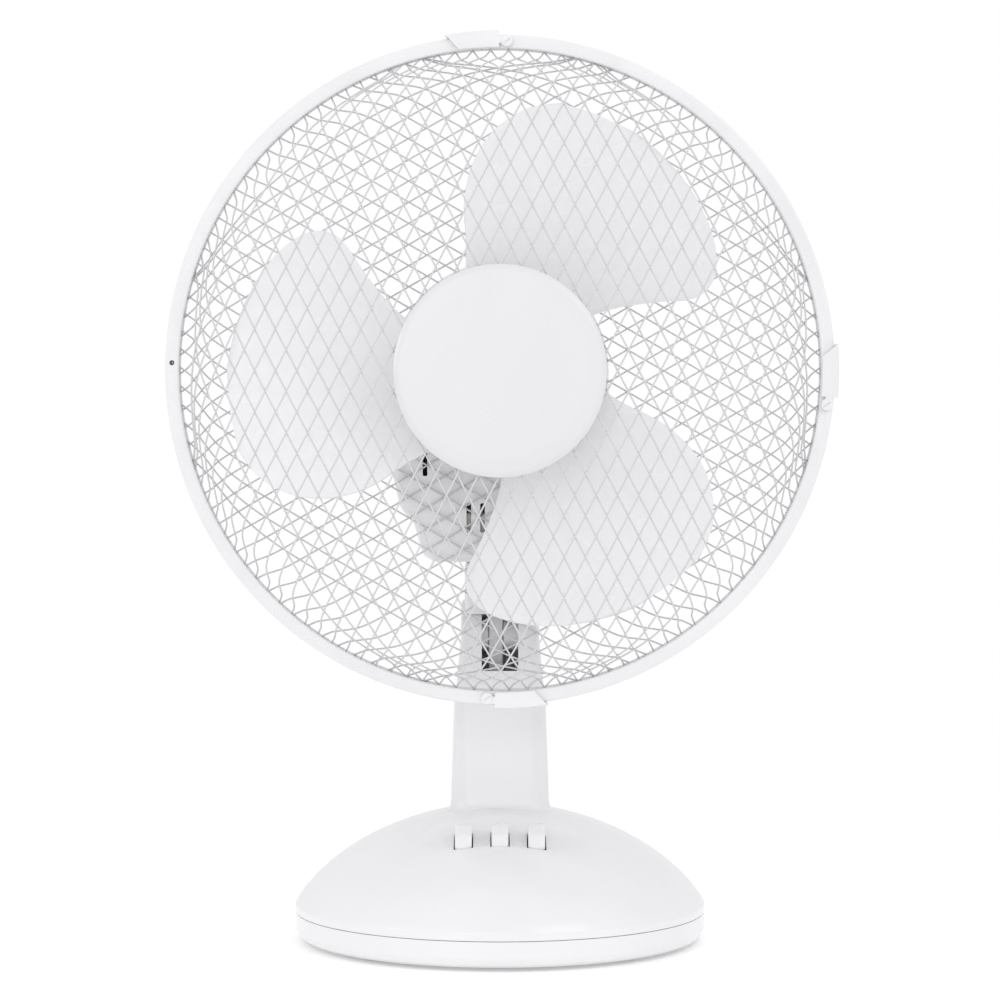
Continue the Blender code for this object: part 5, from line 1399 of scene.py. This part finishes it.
@dataclass
class Rotor:
    """The moulded rotor: a cup-shaped hub and three broad twisted blades, held by a cap nut."""

    station: Station
    finishes: Finishes
    hub_radius: float = 0.0400
    hub_front: float = 0.0920
    hub_back: float = 0.0600
    hub_wall: float = 0.0024
    boss_radius: float = 0.0090
    shaft_radius: float = 0.0040
    blade_centre: float = 0.0760
    thickness: float = 0.0019
    lead: float = 0.0240
    middle: float = 66.0
    leading: tuple[Point2, ...] = (
        (0.0380, 34), (0.060, 30), (0.085, 24), (0.105, 20.5), (0.118, 23.5), (0.126, 31), (0.132, 43), (0.1364, 59)
    )
    trailing: tuple[Point2, ...] = (
        (0.0380, 116), (0.060, 106), (0.085, 102), (0.105, 97), (0.118, 92), (0.126, 87.5), (0.132, 83), (0.1364, 77)
    )

    def edge_angle(self, edge: Sequence[Point2], radius: float) -> float:
        """An edge's angle at a radius, on a smooth line through the table's points.

        Args:
            edge: Pairs of radius and angle.
            radius: The radius.

        Returns:
            The angle, in degrees.
        """
        index = max(0, min(len(edge) - 2, sum(1 for reach, _ in edge if reach <= radius) - 1))
        (r1, a1), (r2, a2) = edge[index], edge[index + 1]
        before = edge[index - 1] if index else (2 * r1 - r2, 2 * a1 - a2)
        after = edge[index + 2] if index + 2 < len(edge) else (2 * r2 - r1, 2 * a2 - a1)
        span = r2 - r1
        slope1 = (a2 - before[1]) / (r2 - before[0]) * span
        slope2 = (after[1] - a1) / (after[0] - r1) * span
        t = (radius - r1) / span
        return (
            (2 * t**3 - 3 * t**2 + 1) * a1
            + (t**3 - 2 * t**2 + t) * slope1
            + (3 * t**2 - 2 * t**3) * a2
            + (t**3 - t**2) * slope2
        )

    def blade(self, turn: float) -> bmesh.types.BMesh:
        """One blade as a helical plate of even thickness.

        Args:
            turn: Where it stands round the hub, in degrees.

        Returns:
            The blade.
        """
        bm = bmesh.new()
        bmesh.ops.create_grid(bm, x_segments=28, y_segments=34, size=0.5)
        root, tip = self.hub_radius - 0.0012, self.leading[-1][0]
        for vert in bm.verts:
            share, reach = vert.co.x + 0.5, vert.co.y + 0.5
            radius = root + (tip - root) * (1 - (1 - reach) ** 1.5)
            low, high = self.edge_angle(self.leading, radius), self.edge_angle(self.trailing, radius)
            angle = low + (high - low) * share
            forward = self.blade_centre + self.lead * math.radians(angle - self.middle)
            bow = 0.0012 * math.sin(math.pi * share) * reach
            x, y = polar(radius, angle + turn)
            vert.co = (x, y, forward - bow)
        bmesh.ops.recalc_face_normals(bm, faces=bm.faces)
        plate = settled(bm, wall=self.thickness, centred=True)
        return softened(plate, self.thickness * 0.42, 60.0, 2)

    def build(self) -> None:
        """Builds the rotor and its cap nut."""
        outer, inner = self.hub_radius, self.hub_radius - self.hub_wall
        bore = self.shaft_radius + 0.0003
        corners: list[Corner] = [
            (bore, self.hub_front, 0.0),
            (outer * 0.80, self.hub_front, 0.012),
            (outer, self.hub_front - 0.0075, 0.008),
            (outer, self.hub_back, 0.0006),
            (inner, self.hub_back, 0.0006),
            (inner, self.hub_front - 0.0095, 0.007),
            (inner * 0.78, self.hub_front - self.hub_wall, 0.010),
            (self.boss_radius, self.hub_front - self.hub_wall, 0.0020),
            (self.boss_radius, self.hub_back + 0.002, 0.0005),
            (bore, self.hub_back + 0.002, 0.0),
        ]
        hub = revolved(filleted(corners, closed=True, steps=6), steps=120, closed=True)
        ribs = []
        for number in range(6):
            rib = block((self.boss_radius - 0.001, -0.0008, self.hub_back + 0.008), (inner + 0.001, 0.0008, self.hub_front - 0.009))
            ribs.append(moved(rib, Matrix.Rotation(math.radians(60 * number + 30), 4, "Z")))
        rotor = settled(hub, joined=[*ribs, *[self.blade(120.0 * number) for number in range(3)]])
        add_piece("fan_rotor_moulding", rotor, self.finishes.blade, Berth("rotor", "blade_white", ("fan_blade",)), self.station.facing(), 34)
        self.build_cap_nut()

    def build_cap_nut(self) -> None:
        """Builds the cap nut, with its grip flutes."""
        corners = [
            (0.0, 0.0100, 0.0), (0.0085, 0.0098, 0.004), (0.0126, 0.0055, 0.004), (0.0130, 0.0, 0.0004),
            (0.0044, 0.0, 0.0), (0.0044, 0.0060, 0.0), (0.0, 0.0060, 0.0),
        ]
        nut = revolved(filleted(corners, steps=5), steps=72)
        flutes = [
            moved(cylinder(0.0012, -0.001, 0.0052, 16), Matrix.Translation((*polar(0.0136, 30 * i), 0)))
            for i in range(12)
        ]
        nut = settled(nut, taken=flutes)
        add_piece("spinner_cap_nut", nut, self.finishes.housing, Berth("rotor", "housing_white", ("spinner_nut",)), self.station.facing(self.hub_front + 0.0003))


# Guards


@dataclass(frozen=True)
class GuardShape:
    """One wire guard: its section, the slant of its two families of wires and its middle."""

    name: str
    stands_for: str
    section: tuple[Corner, ...]
    slant: float
    start: float
    outward: float


@dataclass
class Guards:
    """The two wire guards, each of two crossing families of fine wires that wrap over its shoulder."""

    station: Station
    finishes: Finishes
    wire: float = 0.00043
    spacing: float = 0.00933
    hoop: float = 0.0009
    plate_radius: float = 0.0380
    plate_forward: float = 0.0335
    nut_radius: float = 0.0340

    def shapes(self) -> tuple[GuardShape, GuardShape]:
        """The front and the rear guard."""
        front = (
            (0.0, 0.1100, 0.0), (0.0880, 0.1098, 0.10), (0.1240, 0.1075, 0.09), (0.1500, 0.0970, 0.020),
            (0.1563, 0.0760, 0.004), (0.1618, 0.0719, 0.0),
        )
        rear = (
            (0.0, 0.0335, 0.0), (0.0780, 0.0335, 0.10), (0.1180, 0.0350, 0.09), (0.1470, 0.0430, 0.020),
            (0.1562, 0.0640, 0.004), (0.1618, 0.0681, 0.0),
        )
        return (
            GuardShape("front_guard_wires", "front_guard", front, 62.7, 0.0, 1.0),
            GuardShape("rear_guard_wires", "rear_guard", rear, 30.0, self.plate_radius - 0.001, -1.0),
        )

    def section_points(self, shape: GuardShape) -> list[Vector]:
        """A guard's section as close points of (radius, forward), with its corners rounded."""
        coarse = [Vector(point) for point in filleted(shape.section, steps=7)]
        fine = []
        for first, second in zip(coarse, coarse[1:]):
            pieces = max(1, round((second - first).length / 0.003))
            fine += [first.lerp(second, i / pieces) for i in range(pieces)]
        return [*fine, coarse[-1]]

    def wire_path(self, shape: GuardShape, points: Sequence[Vector], offset: float, lift: float) -> list[Point3]:
        """Half a wire: from where it passes nearest the middle out to the rim, as straight as its guard allows.

        Args:
            shape: The guard.
            points: Its section.
            offset: The wire's least distance from the middle.
            lift: How far it lies off the section, outwards.

        Returns:
            Its points, as an angle from the wire's normal, a radius and a distance forward.
        """
        begin = max(abs(offset), shape.start)
        path: list[Point3] = []
        turned_by = math.acos(min(1.0, abs(offset) / begin)) if begin else math.pi / 2
        last: Vector | None = None
        for first, second in zip(points, points[1:]):
            if second.x <= begin:
                continue
            if last is None:
                share = (begin - first.x) / (second.x - first.x)
                last = first.lerp(second, max(0.0, share))
                path.append((turned_by, *self.lifted(last, first, second, lift)))
            run = (second - last).length / max(1e-9, second.x - last.x)
            before = math.acos(min(1.0, abs(offset) / last.x)) if last.x else math.pi / 2
            turned_by += (math.acos(min(1.0, abs(offset) / second.x)) - before) * run
            path.append((turned_by, *self.lifted(second, first, second, lift)))
            last = second
        return path

    def lifted(self, point: Vector, first: Vector, second: Vector, lift: float) -> Point2:
        """A point of the section moved off it along its outward normal.

        Args:
            point: The point.
            first: The start of the section's piece that it is on.
            second: The end of that piece.
            lift: How far it moves.

        Returns:
            Its radius and its distance forward.
        """
        along = (second - first).normalized()
        return point.x - along.y * lift, point.y + along.x * lift

    def wires(self, shape: GuardShape) -> list[list[Vector]]:
        """Every wire of a guard, each as a line of points about +Z."""
        points = self.section_points(shape)
        lines = []
        count = int(0.1490 / self.spacing)
        for family in (1.0, -1.0):
            lift = shape.outward * family * self.wire * 0.85
            for number in range(-count, count + 1):
                offset = (number + 0.5) * self.spacing
                if abs(offset) > 0.1500:
                    continue
                normal = math.radians(family * shape.slant + 90.0) + (math.pi if offset < 0 else 0.0)
                half = self.wire_path(shape, points, offset, lift)
                sides = []
                for hand in (1.0, -1.0):
                    sides.append([self.placed(normal + hand * angle, radius, forward) for angle, radius, forward in half])
                if abs(offset) < shape.start:
                    lines += sides
                else:
                    lines.append(sides[1][::-1] + sides[0][1:])
        return lines

    def placed(self, angle: float, radius: float, forward: float) -> Vector:
        """A point given by its angle, its radius and its distance forward."""
        return Vector((radius * math.cos(angle), radius * math.sin(angle), forward))

    def drawn(self, lines: Sequence[Sequence[Vector]], radius: float, closed: bool = False, sides: int = 2) -> bmesh.types.BMesh:
        """Round wire along lines of points.

        Args:
            lines: The lines.
            radius: The wire's radius.
            closed: Whether each line is a loop.
            sides: How finely the wire is rounded.

        Returns:
            The wires as one mesh.
        """
        curve = bpy.data.curves.new("wire", "CURVE")
        curve.dimensions = "3D"
        curve.bevel_depth = radius
        curve.bevel_resolution = sides
        curve.use_fill_caps = not closed
        for line in lines:
            spline = curve.splines.new("POLY")
            spline.points.add(len(line) - 1)
            for point, place in zip(spline.points, line):
                point.co = (*place, 1.0)
            spline.use_cyclic_u = closed
        obj = bpy.data.objects.new("wire", curve)
        bpy.context.scene.collection.objects.link(obj)
        evaluated = obj.evaluated_get(bpy.context.evaluated_depsgraph_get())
        bm = bmesh.new()
        bm.from_mesh(evaluated.to_mesh())
        evaluated.to_mesh_clear()
        bpy.data.objects.remove(obj, do_unlink=True)
        bpy.data.curves.remove(curve)
        bmesh.ops.remove_doubles(bm, verts=bm.verts, dist=1e-7)
        bmesh.ops.recalc_face_normals(bm, faces=bm.faces)
        return bm

    def circle(self, radius: float, forward: float) -> list[Vector]:
        """A ring of points about +Z."""
        return [self.placed(math.tau * i / 144, radius, forward) for i in range(144)]

    def build(self) -> None:
        """Builds both guards, the rear guard's plate and the nut that holds it."""
        for shape in self.shapes():
            berth = Berth("head", "guard_white", (shape.stands_for,))
            wires = self.drawn(self.wires(shape), self.wire)
            add_piece(shape.name, wires, self.finishes.coated_wire, berth, self.station.facing(), 70)
            radius, forward, _ = shape.section[-1]
            rings = [self.circle(radius + 0.0012, forward)]
            if not shape.start:
                rings.append(self.circle(0.0470, 0.1088))
            hoops = self.drawn(rings, self.hoop, closed=True)
            name = f"{shape.stands_for}_hoops"
            add_piece(name, hoops, self.finishes.coated_wire, Berth("head", "guard_white"), self.station.facing(), 70)
        self.build_plate()
        self.build_nut()

    def build_plate(self) -> None:
        """Builds the pressed plate in the middle of the rear guard."""
        middle = self.plate_forward
        corners = [
            (0.0223, middle - 0.0009, 0.0), (0.0350, middle - 0.0009, 0.0010), (self.plate_radius, middle - 0.0002, 0.0004),
            (self.plate_radius, middle + 0.0010, 0.0004), (0.0345, middle + 0.0007, 0.0010), (0.0223, middle + 0.0007, 0.0),
        ]
        plate = revolved(filleted(corners, closed=True), steps=120, closed=True)
        add_piece("rear_guard_plate", plate, self.finishes.coated_wire, Berth("head", "guard_white"), self.station.facing())

    def build_nut(self) -> None:
        """Builds the ring nut in front of the rear guard's plate, with its finger grips."""
        start, end = 0.0349, 0.0405
        corners = [
            (0.0223, start, 0.0), (self.nut_radius, start, 0.0004), (self.nut_radius, start + 0.0032, 0.0010),
            (0.0290, end - 0.0002, 0.0016), (0.0223, end, 0.0003),
        ]
        nut = revolved(filleted(corners, closed=True), steps=120, closed=True)
        grips = [
            moved(cylinder(0.0052, start - 0.001, end + 0.001, 32), Matrix.Translation((*polar(0.0372, 60 * i + 30), 0)))
            for i in range(6)
        ]
        nut = softened(settled(nut, taken=grips), 0.0003, 60, 2)
        add_piece("guard_ring_nut", nut, self.finishes.housing, Berth("head", "housing_white", ("guard_nut",)), self.station.facing())


# Rim, clips and badge


@dataclass
class Rim:
    """The two rings that close over the guards' edges, their three latches, a screw and the badge."""

    station: Station
    finishes: Finishes
    outer: float = 0.1675
    inner: float = 0.1606
    half_depth: float = 0.0070
    plate: float = 0.0030
    wall: float = 0.0020
    hinge_radius: float = 0.1641
    pin_hole: float = 0.0013
    latches: tuple[Point2, ...] = ((88.8, 0.0), (-5.9, 0.0), (267.7, 0.0))
    latch_names: tuple[str, ...] = ("clip_top", "clip_right", "clip_bottom")
    latch_reach: float = 0.0300
    latch_slant: float = 34.0
    screw_angle: float = 178.6
    badge_radius: float = 0.0525
    badge_back: float = 0.1111
    badge_rise: float = 0.0029

    def build(self) -> None:
        """Builds the rings, the latches, the rim screw and the badge."""
        self.build_rings()
        for name, (degrees, _) in zip(self.latch_names, self.latches):
            self.build_latch(name, degrees)
        self.build_screw()
        self.build_badge()

    def build_rings(self) -> None:
        """Builds the two channel-shaped rings, with the holes of the latches' pins."""
        middle = self.station.rim_forward
        gap = 0.00015
        face, floor = self.half_depth - 0.0, self.half_depth - self.plate
        section: list[Corner] = [
            (self.inner, face, 0.0009), (self.outer, face, 0.0014), (self.outer, gap, 0.0003),
            (self.outer - self.wall, gap, 0.0), (self.outer - self.wall, floor, 0.0004), (self.inner, floor, 0.0006),
        ]
        profile = filleted(section, closed=True, steps=5)
        for name, hand in (("front_rim", 1.0), ("rear_rim", -1.0)):
            ring = revolved([(radius, hand * height) for radius, height in profile], steps=216, closed=True)
            holes = []
            for degrees in [*[degrees for degrees, _ in self.latches], self.screw_angle]:
                x, y = polar(self.hinge_radius, degrees)
                holes.append(moved(cylinder(self.pin_hole, -0.012, 0.012, 24), Matrix.Translation((x, y, 0))))
            ring = settled(ring, taken=holes)
            add_piece(f"{name}_ring", ring, self.finishes.coated_rim, Berth("head", "guard_white", (name,)), self.station.facing(middle), 34)

    def build_latch(self, name: str, degrees: float) -> None:
        """Builds a latch: a curved hook over the rings' edge, on a knob with a pin through them.

        Args:
            name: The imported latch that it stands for.
            degrees: Where its pin stands round the rim.
        """
        face, front = self.half_depth + 0.0003, self.half_depth + 0.0024
        web, end = self.outer + 0.0007, self.outer + 0.0019
        low, rear_low = self.inner + 0.0002, self.inner + 0.0030
        section: list[Corner] = [
            (low, front, 0.0006), (end, front, 0.0016), (end, -front, 0.0016), (rear_low, -front, 0.0006),
            (rear_low, -face, 0.0), (web, -face, 0.0), (web, face, 0.0), (low, face, 0.0),
        ]
        near = math.degrees(0.0039 / self.hinge_radius)
        sweep = math.degrees(self.latch_reach / self.hinge_radius) - near
        hook = revolved(filleted(section, closed=True, steps=3), steps=20, closed=True, sweep=sweep)
        turn = Matrix.Rotation(math.radians(degrees + near), 4, "Z")
        moved(hook, turn)
        far_end = turn @ Matrix.Rotation(math.radians(sweep), 4, "Z") @ Matrix.Translation((end, 0, 0))
        slanted = block((-0.0200, 0.0, -0.0200), (0.0100, 0.0150, 0.0200))
        moved(slanted, far_end @ Matrix.Rotation(math.radians(self.latch_slant), 4, "Z"))
        pin_place = Matrix.Translation((*polar(self.hinge_radius, degrees), 0))
        cap: list[Corner] = [
            (0.0, front + 0.0008, 0.0), (0.0031, front + 0.0006, 0.0009), (0.0031, face, 0.0), (0.0010, face, 0.0),
            (0.0010, -face, 0.0), (0.0031, -face, 0.0), (0.0031, -front, 0.0006), (0.0, -front, 0.0),
        ]
        knob = moved(revolved(filleted(cap, steps=5), steps=48), pin_place)
        slot = block((-0.0020, -0.00035, front + 0.0002), (0.0020, 0.00035, front + 0.002))
        slot = moved(slot, pin_place @ Matrix.Rotation(math.radians(35), 4, "Z"))
        tabs = []
        for start, stop in ((face, front), (-front, -face)):
            tab = block((-0.0010, 0.0016, start), (0.0026, 0.0052, stop))
            tabs.append(moved(tab, pin_place @ Matrix.Rotation(math.radians(degrees), 4, "Z")))
        latch = settled(hook, joined=[knob, *tabs], taken=[slot, slanted])
        place = self.station.facing(self.station.rim_forward)
        add_piece(f"{name}_latch", latch, self.finishes.coated_rim, Berth(name, "guard_white", (name,)), place, 34)

    def build_screw(self) -> None:
        """Builds the rim screw, driven from behind."""
        x, y = polar(self.hinge_radius, self.screw_angle)
        back = self.station.rim_forward - self.half_depth - 0.0003
        place = self.station.facing(back) @ Matrix.Translation((x, y, 0)) @ Matrix.Rotation(math.pi, 4, "X")
        screw = cross_screw(0.0028, 0.0012, 0.0010, 0.0112)
        add_piece("rim_cross_screw", screw, self.finishes.zinc, Berth("head", "bright_steel", ("rim_screw",)), place)

    def build_badge(self) -> None:
        """Builds the plain badge, a shallow disc with a turned edge, and the screw head behind it."""
        radius, rise = self.badge_radius, self.badge_rise
        corners: list[Corner] = [
            (0.0, rise, 0.0), (radius * 0.55, rise * 0.985, 0.10), (radius * 0.82, rise * 0.90, 0.06),
            (radius * 0.955, rise * 0.72, 0.012), (radius, rise * 0.22, 0.0012), (radius - 0.0003, 0.0, 0.0004),
            (0.0050, 0.0, 0.0), (0.0050, -0.0022, 0.0), (0.0016, -0.0022, 0.0), (0.0016, rise * 0.3, 0.0), (0.0, rise * 0.3, 0.0),
        ]
        disc = revolved(filleted(corners, steps=8), steps=192)
        add_piece("badge_plain_disc", disc, self.finishes.badge, Berth("head", "housing_white", ("badge_disc",)), self.station.facing(self.badge_back), 30)
        place = self.station.facing(0.1086) @ Matrix.Rotation(math.pi, 4, "X")
        screw = cross_screw(0.0100, 0.0011, 0.0013, 0.0020)
        add_piece("badge_wide_screw", screw, self.finishes.zinc, Berth("head", "bright_steel", ("badge_screw",)), place)


# Studio


@dataclass
class Studio:
    """The pale floor, the soft lights and the camera."""

    finishes: Finishes
    floor_radius: float = 2.4
    camera_place: Point3 = (0.0, -1.8, 0.2955)
    camera_aim: Point3 = (0.0, -0.05, 0.2304)
    lens: float = 125.0
    room_light: float = 0.92

    def build(self) -> None:
        """Builds the whole studio."""
        self.lay_floor()
        self.light_world()
        self.hang_light("key", (1.1, -1.3, 1.3), (0.0, 0.0, 0.22), 1.0, 4.2)
        self.hang_light("fill", (-0.3, -2.0, 0.6), (0.0, 0.0, 0.22), 1.2, 4.0)
        self.hang_light("strip", (-0.9, -0.5, 0.5), (0.0, 0.0, 0.15), 0.30, 0.7)
        self.hang_light("top", (0.1, 0.3, 1.9), (0.0, 0.0, 0.15), 1.4, 1.5)
        self.set_camera()

    def lay_floor(self) -> None:
        """Lays a round pale floor that fades out into the backdrop."""
        graph = Graph("studio_floor")
        x, y, _ = graph.axes()
        reach = (x * x + y * y) ** 0.5
        fade = 1.0 - graph.ramp(reach, 0.13, 0.60)
        tone = (0.93, 0.93, 0.93, 1.0)
        material = graph.finish(
            Base_Color=tone, Roughness=0.6, Alpha=fade, Emission_Color=tone, Emission_Strength=0.18
        )
        bm = bmesh.new()
        bmesh.ops.create_circle(bm, cap_ends=True, segments=96, radius=self.floor_radius)
        mesh = bpy.data.meshes.new("floor")
        bm.to_mesh(mesh)
        bm.free()
        mesh.materials.append(material)
        floor = bpy.data.objects.new("floor", mesh)
        bpy.context.scene.collection.objects.link(floor)

    def light_world(self) -> None:
        """Fills the room with even white light."""
        world = bpy.data.worlds.new("studio")
        world.use_nodes = True
        tree = world.node_tree
        room = tree.nodes["Background"]
        room.inputs["Color"].default_value = (0.985, 0.985, 1.0, 1.0)
        room.inputs["Strength"].default_value = self.room_light
        backdrop = tree.nodes.new("ShaderNodeBackground")
        backdrop.inputs["Color"].default_value = (1.0, 1.0, 1.0, 1.0)
        seen = tree.nodes.new("ShaderNodeLightPath")
        choice = tree.nodes.new("ShaderNodeMixShader")
        tree.links.new(seen.outputs["Is Camera Ray"], choice.inputs[0])
        tree.links.new(room.outputs[0], choice.inputs[1])
        tree.links.new(backdrop.outputs[0], choice.inputs[2])
        tree.links.new(choice.outputs[0], tree.nodes["World Output"].inputs["Surface"])
        bpy.context.scene.world = world
        bpy.context.scene.view_settings.view_transform = "Standard"

    def hang_light(self, name: str, place: Point3, aim: Point3, size: float, power: float) -> None:
        """Hangs one square soft light.

        Args:
            name: Its name.
            place: Where it hangs.
            aim: What it faces.
            size: The length of its sides.
            power: Its power, in watts.
        """
        light = bpy.data.lights.new(name, "AREA")
        light.size = size
        light.energy = power
        obj = bpy.data.objects.new(name, light)
        obj.location = place
        obj.rotation_euler = (Vector(aim) - Vector(place)).to_track_quat("-Z", "Y").to_euler()
        bpy.context.scene.collection.objects.link(obj)

    def set_camera(self) -> None:
        """Sets the camera in front of the fan, level with its hub and aimed a little down."""
        camera = bpy.data.cameras.new("camera")
        camera.lens = self.lens
        camera.sensor_width = 36.0
        obj = bpy.data.objects.new("camera", camera)
        obj.location = self.camera_place
        aim = Vector(self.camera_aim) - Vector(self.camera_place)
        obj.rotation_euler = aim.to_track_quat("-Z", "Y").to_euler()
        bpy.context.scene.collection.objects.link(obj)
        bpy.context.scene.camera = obj


# Assembly


def build_fan() -> None:
    """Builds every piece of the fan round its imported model, then the studio."""
    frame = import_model()
    nodes = frame["nodes"]
    station = Station.measured()
    finishes = Finishes.mixed(tuple(station.spot()))
    base = Base(station, finishes)
    base.build()
    KeySwitch(station, finishes).build(nodes)
    Column(station, finishes, base).build(nodes)
    Neck(station, finishes).build(nodes)
    MotorHousing(station, finishes).build(nodes)
    Rotor(station, finishes).build()
    Guards(station, finishes).build()
    Rim(station, finishes).build()
    Studio(finishes).build()


if __name__ == "__main__":
    logging.basicConfig(level=logging.INFO, format="%(name)s: %(message)s")
    build_fan()
